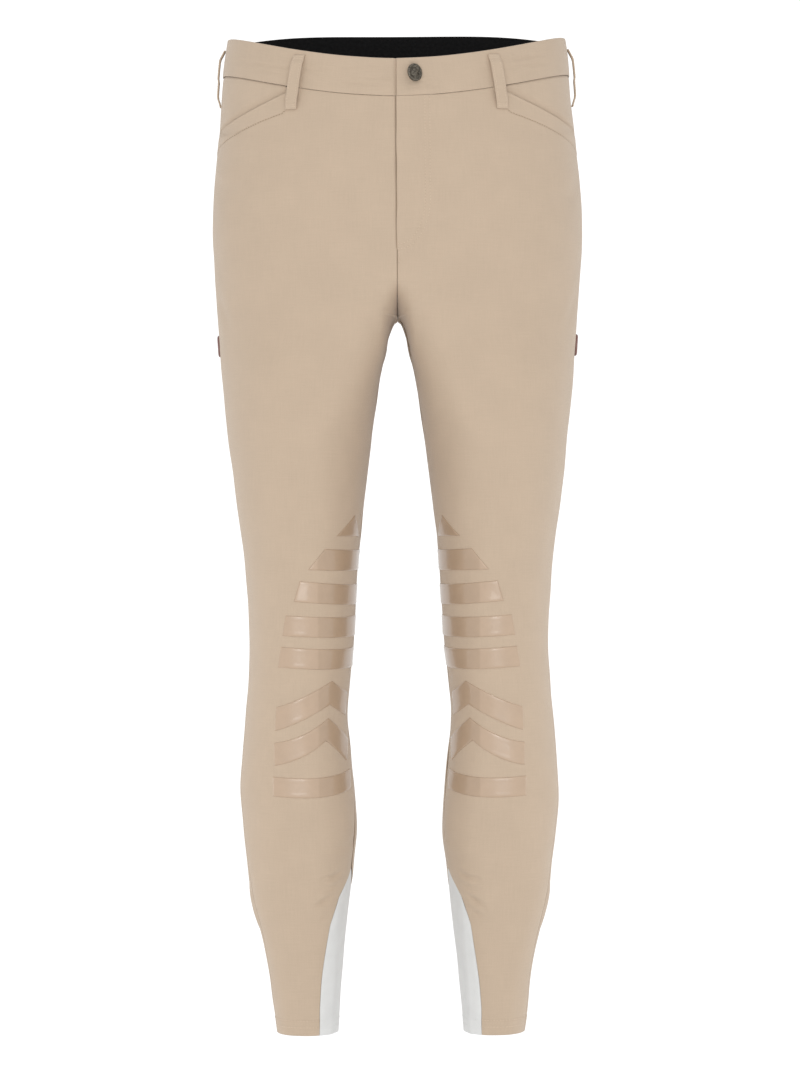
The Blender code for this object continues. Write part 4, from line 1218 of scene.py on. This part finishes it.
def gripSpots(grip, along, down):
    top, depth, startTop, startBottom, endTop, endBottom, rise, peak, drop, sag = grip
    z = top - drop * along - sag * np.sin(np.pi * along)
    if rise:
        far = np.clip((1.0 - along) / (1.0 - peak), 0.0, 1.0)
        near = np.clip(along / peak, 0.0, 1.0)
        z = z + (rise + drop * along) * np.where(along < peak, near, far ** 1.7)
    start = startTop + (startBottom - startTop) * down
    end = endTop + (endBottom - endTop) * down
    z = z - depth * down
    arc = start + (end - start) * along
    return arc / girthAt(z.ravel()).reshape(z.shape), z


def kneeGrip(number, grip, side, label):
    detail = gripDetail
    depth, length, rise, peak = grip[1], grip[5] - grip[3], grip[6], grip[7]
    along = stops(length, detail["mesh"], detail["edge"])
    if rise:
        along[int(np.abs(along - peak).argmin())] = peak
    down = stops(depth, detail["mesh"], detail["edge"])
    along, down = along[None, :] + 0.0 * down[:, None], down[:, None] + 0.0 * along[None, :]
    share, z = gripSpots(grip, along, down)
    start, end, top, foot = fromEdges(onCloth(side, share, z, 0.0 * share))
    near = np.minimum(np.minimum(start, end), np.minimum(top, foot))
    near = np.minimum(near, np.minimum(start[:, -1:] / 2.0, top[-1:] / 2.0))
    bead = detail["bead"] * bellAt(near, detail["beadAt"], detail["beadWidth"])
    raised = detail["plateau"] * rounded(near, detail["round"])
    out = clothRelief(side, share, z) + raised + bead * np.clip(near / detail["round"], 0.0, 1.0)
    points = onCloth(side, share, z, out)
    piece = shell("kneeGrip{}{}".format(label, number), points, detail["wall"], gripFinish)
    fitOn(piece, "grip_{}_{}".format(label.lower(), number))


for side, label in sides:
    for number, grip in enumerate(grips, 1):
        kneeGrip(number, grip, side, label)
print("knee grips made")

# Thigh tabs
tabLook = {"height": 0.022, "width": 0.016, "thick": 0.0016, "z": -0.3045, "roundness": 0.45,
           "proud": 0.0003, "round": 0.0008, "bead": 0.0004, "beadAt": 0.0016, "beadWidth": 0.0006,
           "edge": (0.0, 0.02, 0.05, 0.09, 0.15, 0.22)}


def thighTab(side, label):
    look = tabLook
    steps = stops(2.0, 0.12, look["edge"]) * 2.0 - 1.0
    down, across = steps[:, None], steps[None, :]
    z = look["z"] - look["height"] / 2.0 * down * np.sqrt(1.0 - look["roundness"] * across ** 2)
    reach = look["width"] / 2.0 * across * np.sqrt(1.0 - look["roundness"] * down ** 2)
    share = 0.5 + reach / strideAt(0.5, look["z"])
    near = np.minimum(1.0 - np.abs(down), 1.0 - np.abs(across)) * look["width"] / 2.0
    body = (look["thick"] + look["proud"]) * rounded(near, look["round"])
    bead = look["bead"] * bellAt(near, look["beadAt"], look["beadWidth"])
    piece = shell("thighTab" + label, onCloth(side, share, z, body + bead), look["thick"], tabFinish)
    fitOn(piece, "thigh_tab_" + label.lower())


for side, label in sides:
    thighTab(side, label)
print("thigh tabs made")

# Button
buttonLook = {"x": 0.0150, "down": 0.0160, "radius": 0.0087, "thick": 0.0012, "neck": 0.0008,
              "tilt": 38.0, "shank": 0.0022, "shankLength": 0.0029, "beads": 28,
              "beadRadius": 0.00042, "beadRing": 0.57}
# the face as shares of the radius and heights
buttonFace = [(0.0, 0.00055), (0.18, 0.00052), (0.34, 0.00040), (0.42, 0.00012), (0.46, 0.0),
              (0.66, -0.0001), (0.70, 0.0), (0.74, 0.0004)]


def spun(profile, steps, weld):
    bm = bmesh.new()
    verts = [bm.verts.new((x, 0.0, z)) for x, z in profile]
    edges = [bm.edges.new(pair) for pair in zip(verts, verts[1:])]
    bmesh.ops.spin(bm, geom=verts + edges, cent=(0, 0, 0), axis=(0, 0, 1), angle=2.0 * math.pi, steps=steps)
    bmesh.ops.remove_doubles(bm, verts=bm.verts, dist=weld)
    bmesh.ops.recalc_face_normals(bm, faces=bm.faces)
    return bm


def meshOf(name, bm, material):
    mesh = bpy.data.meshes.new(name)
    bm.to_mesh(mesh)
    bm.free()
    mesh.materials.append(material)
    mesh.shade_smooth()
    return addObject(name, mesh)


def buttonFrame():
    share = shareAt(buttonLook["x"], float(rimZ(np.array(0.0))) - buttonLook["down"])
    z = float(rimZ(np.array(share))) - buttonLook["down"]
    normal = Vector(outwardAt(np.array(share), np.array(z)))
    seat = Vector(baseSurface(share, z)) + normal * (bandLook["out"] + shape["gap"] + buttonLook["shank"])
    axis = Matrix.Rotation(math.radians(buttonLook["tilt"]), 3, "Z") @ normal
    foot = -buttonLook["thick"] - buttonLook["neck"] - buttonLook["shankLength"]
    return Matrix.Translation(seat - axis * foot) @ axis.to_track_quat("Z", "Y").to_matrix().to_4x4()


def buttonPiece():
    r, thick, shank = buttonLook["radius"], buttonLook["thick"], buttonLook["shank"]
    profile = [(a * r, b) for a, b in buttonFace]
    profile += [(r * (0.86 + 0.14 * math.sin(a)), 0.0007 * math.cos(a))
                for a in np.radians((-60, -35, -10, 15, 40, 62, 80))]
    profile += [(r, -0.0003), (r, -thick), (0.97 * r, -thick - 0.0003)]
    neck = -thick - buttonLook["neck"]
    foot = neck - buttonLook["shankLength"]
    profile += [(0.9 * r, -thick - 0.0006), (0.45 * r, neck)]
    profile += [(shank * 1.3, neck - 0.0001), (shank, neck - 0.0004), (shank, foot)]
    profile += [(shank * math.cos(a), foot - shank * math.sin(a)) for a in np.radians((15, 35, 55, 75))]
    bm = spun(profile + [(0.0, foot - shank)], 64, 0.00001)
    ring = buttonLook["beadRing"] * r
    for turn in [2.0 * math.pi * i / buttonLook["beads"] for i in range(buttonLook["beads"])]:
        spot = Matrix.Translation((ring * math.cos(turn), ring * math.sin(turn), 0.0))
        bmesh.ops.create_icosphere(bm, subdivisions=1, radius=buttonLook["beadRadius"], matrix=spot)
    bm.transform(buttonFrame())
    fitOn(meshOf("buttonHead", bm, metalFinish), "button")


buttonPiece()
print("button made")

# Stitches
stitchLook = {"pitch": 0.0031, "long": 0.0023, "thick": 0.00026}


def stitchTree():
    # a small thread at every pitch along each path
    tree = bpy.data.node_groups.new("stitchRow", "GeometryNodeTree")
    for name, kind in (("Geometry", "Geometry"), ("Pitch", "Float"), ("Long", "Float"),
                       ("Thick", "Float"), ("Finish", "Material")):
        tree.interface.new_socket(name, in_out="INPUT", socket_type="NodeSocket" + kind)
    tree.interface.new_socket("Geometry", in_out="OUTPUT", socket_type="NodeSocketGeometry")
    source = addNode(tree, "NodeGroupInput").outputs
    curve = addNode(tree, "GeometryNodeMeshToCurve", Mesh=source["Geometry"])
    sample = addNode(tree, "GeometryNodeResampleCurve", mode="LENGTH", Curve=curve.outputs["Curve"],
                     Length=source["Pitch"])
    ball = addNode(tree, "GeometryNodeMeshUVSphere", Segments=6, Rings=5, Radius=1.0)
    size = addNode(tree, "ShaderNodeCombineXYZ", X=mathNode(tree, "MULTIPLY", source["Long"], 0.5),
                   Y=source["Thick"], Z=source["Thick"])
    form = addNode(tree, "GeometryNodeTransform", Geometry=ball.outputs["Mesh"],
                   Scale=size.outputs["Vector"])
    tangent = addNode(tree, "GeometryNodeInputTangent")
    turn = addNode(tree, "FunctionNodeAlignRotationToVector", axis="X",
                   Vector=tangent.outputs["Tangent"])
    onPoints = addNode(tree, "GeometryNodeInstanceOnPoints", Points=sample.outputs["Curve"],
                       Instance=form.outputs["Geometry"], Rotation=turn.outputs["Rotation"])
    real = addNode(tree, "GeometryNodeRealizeInstances", Geometry=onPoints.outputs["Instances"])
    finish = addNode(tree, "GeometryNodeSetMaterial", Geometry=real.outputs["Geometry"],
                     Material=source["Finish"])
    addNode(tree, "NodeGroupOutput", Geometry=finish.outputs["Geometry"])
    return tree


rowOfStitches = stitchTree()


def stitches(name, paths, finish, slotName="cloth", **changes):
    look = dict(stitchLook, **changes)
    points, edges = [], []
    for path in paths:
        edges += [(len(points) + i, len(points) + i + 1) for i in range(len(path) - 1)]
        points += [tuple(p) for p in path]
    mesh = bpy.data.meshes.new(name)
    mesh.from_pydata(points, edges, [])
    maker = addObject(name + "Path", mesh)
    modifier = maker.modifiers.new("row", "NODES")
    modifier.node_group = rowOfStitches
    values = dict({key.capitalize(): value for key, value in look.items()}, Finish=finish)
    for item in rowOfStitches.interface.items_tree:
        if item.in_out == "INPUT" and item.name in values:
            modifier[item.identifier] = values[item.name]
    evaluated = maker.evaluated_get(bpy.context.evaluated_depsgraph_get())
    result = bpy.data.meshes.new_from_object(evaluated)
    bpy.data.objects.remove(maker)
    result.name = name
    result.shade_smooth()
    piece = addObject(name, result)
    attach(piece, "root")
    print("  {}: {} faces".format(name, len(result.polygons)))


def threadPath(side, share, z, extra=0.00008, halved=True, relief=clothRelief):
    share, z = np.asarray(share, float), np.asarray(z, float)
    return onCloth(side, share, z, relief(side, share, z) + extra, halved)


flyRows = [threadPath(1, *flyLine(shift)) for shift in (-sewing["flyHalf"], sewing["flyHalf"])]
stitches("flyStitches", [row[1:] for row in flyRows], threadFinish)

pocketT = np.linspace(0.02, 0.985, 80)
pocketRows = [threadPath(side, *pocketLine(pocketT), 0.00020) for side, _ in sides]
stitches("pocketStitches", pocketRows, threadFinish)


def hemRelief(side, share, z):
    return swayAt(side, share, z) + panelDetail["hemThick"]


def insetRelief(side, share, z):
    return swayAt(side, share, z) + insetDetail["hemThick"]


def hemRow(side, lift, white):
    z = shape["hemZ"] + lift
    near, far = insetEdge(z, 0), insetEdge(z, 1)
    first, last = (far, near) if white else (near, 1.0 + far)
    margin = 0.0012 / strideAt(0.0, z)
    share = np.linspace(first + margin, last - margin, 90)
    return threadPath(side, share, np.full(90, z), 0.0, False, insetRelief if white else hemRelief)


hemLifts = (sewing["hemMiddle"] - sewing["hemHalf"], sewing["hemMiddle"] + sewing["hemHalf"])
for name, white, finish, slotName in (("hemStitches", False, threadFinish, "cloth"),
                                      ("hemInsetStitches", True, whiteThreadFinish, "inset")):
    rows = [hemRow(side, lift, white) for side, _ in sides for lift in hemLifts]
    stitches(name, rows, finish, slotName)

loopRows, loopTacks = [], []
for _, side, head, foot in loopPlaces:
    for offset in (-0.0038, 0.0038):
        along = np.linspace(0.05, 0.95, 30)
        loopRows.append(loopPoints(side, head, foot, along, offset, loopLook["thick"] + 0.00015))
    for at in (0.045, 0.075, 0.925, 0.955):
        across = np.linspace(-0.0044, 0.0044, 8)
        loopTacks.append(loopPoints(side, head, foot, np.full(8, at), across, loopLook["thick"] + 0.0002))
stitches("loopStitches", loopRows, threadFinish, long=0.0019, pitch=0.0026, thick=0.00022)
stitches("loopTacks", loopTacks, threadFinish, long=0.0011, pitch=0.0008, thick=0.00026)

tackZ = np.linspace(-0.2190, -0.2285, 12)
tackShares = [np.full(12, shareAt(0.0016 + shift, -0.223)) for shift in (0.0, 0.0008)]
tack = [threadPath(1, share, tackZ, 0.0001) for share in tackShares]
stitches("flyTack", tack, threadFinish, long=0.0011, pitch=0.0007, thick=0.00030)
print("stitches made")

# Floor, light and camera
stageLook = {"floorZ": -1.16, "white": 1.15, "world": 0.73, "floorRadius": 5.0, "round": 2.0,
             "tall": 8.0, "steps": 96}


def makeStage():
    # a round white dish, so that every side has the same backdrop; the cloth is lit by the world
    material = newFinish("studio_white", (0.0, 0.0, 0.0), 0.9, Specular_IOR_Level=0.0,
                         Emission_Color=(1.0, 1.0, 1.0, 1.0), Emission_Strength=stageLook["white"])[0]
    radius, round_ = stageLook["floorRadius"], stageLook["round"]
    profile = [(0.0, 0.0), (radius * 0.4, 0.0), (radius, 0.0)]
    profile += [(radius + round_ * math.sin(a), round_ * (1.0 - math.cos(a)))
                for a in np.radians(np.arange(10, 91, 10))]
    profile += [(radius + round_, stageLook["tall"])]
    bm = spun([(r, stageLook["floorZ"] + z) for r, z in profile], stageLook["steps"], 0.0001)
    if bm.faces[0].normal.z < 0.0:
        bmesh.ops.reverse_faces(bm, faces=bm.faces)
    floor = meshOf("studioFloor", bm, material)
    floor.visible_diffuse = False
    floor.visible_shadow = False
    floor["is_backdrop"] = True


# name, place, target, width and height, watts
lamps = [
    ("softboxFront", (0.0, -4.7, -0.6), (0.0, 0.0, -0.6), (3.0, 3.5), 48.0),
    ("bounceLow", (0.0, -2.6, -1.1), (0.0, 0.0, -0.42), (1.2, 0.4), 4.4),
    ("fillMiddle", (0.0, -1.7, -0.52), (0.0, 0.0, -0.40), (0.3, 0.4), 1.7),
    ("softboxLeft", (-1.3, 0.25, -1.0), (0.0, 0.0, -0.9), (0.8, 0.3), 3.5),
    ("softboxRight", (1.3, 0.25, -1.0), (0.0, 0.0, -0.9), (0.8, 0.3), 3.5),
    ("glintLeft", (-0.72, -1.55, 1.42), (-0.1, 0.0, -0.57), (0.55, 0.03), 1.3),
    ("glintRight", (0.72, -1.55, 1.42), (0.1, 0.0, -0.57), (0.55, 0.03), 1.3),
]
cameraLook = {"place": (0.0015, -4.0, -0.4925), "roll": 0.25, "lens": 134.96, "sensor": 36.0}


def addLamp(name, place, target, size, power):
    data = bpy.data.lights.new(name, "AREA")
    data.shape, data.size, data.size_y, data.energy = "RECTANGLE", size[0], size[1], power
    lamp = addObject(name, data)
    lamp.location = place
    lamp.rotation_euler = (Vector(target) - Vector(place)).to_track_quat("-Z", "Y").to_euler()
    lamp.visible_camera = False


makeStage()
world = bpy.data.worlds.new("studio")
world.use_nodes = True
background = world.node_tree.nodes["Background"]
background.inputs["Color"].default_value = (1.0, 1.0, 1.0, 1.0)
background.inputs["Strength"].default_value = stageLook["world"]
bpy.context.scene.world = world
for lamp in lamps:
    addLamp(*lamp)

camera = addObject("camera", bpy.data.cameras.new("camera"))
camera.data.lens = cameraLook["lens"]
camera.data.sensor_width = cameraLook["sensor"]
camera.data.clip_end = 50.0
camera.location = cameraLook["place"]
camera.rotation_euler = (math.radians(90.0), math.radians(cameraLook["roll"]), 0.0)
bpy.context.scene.camera = camera
print("studio made")

boxes = {"cad": cadBox, "visual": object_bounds()}
boxes = {key: [list(map(float, corner)) for corner in box] for key, box in boxes.items()}
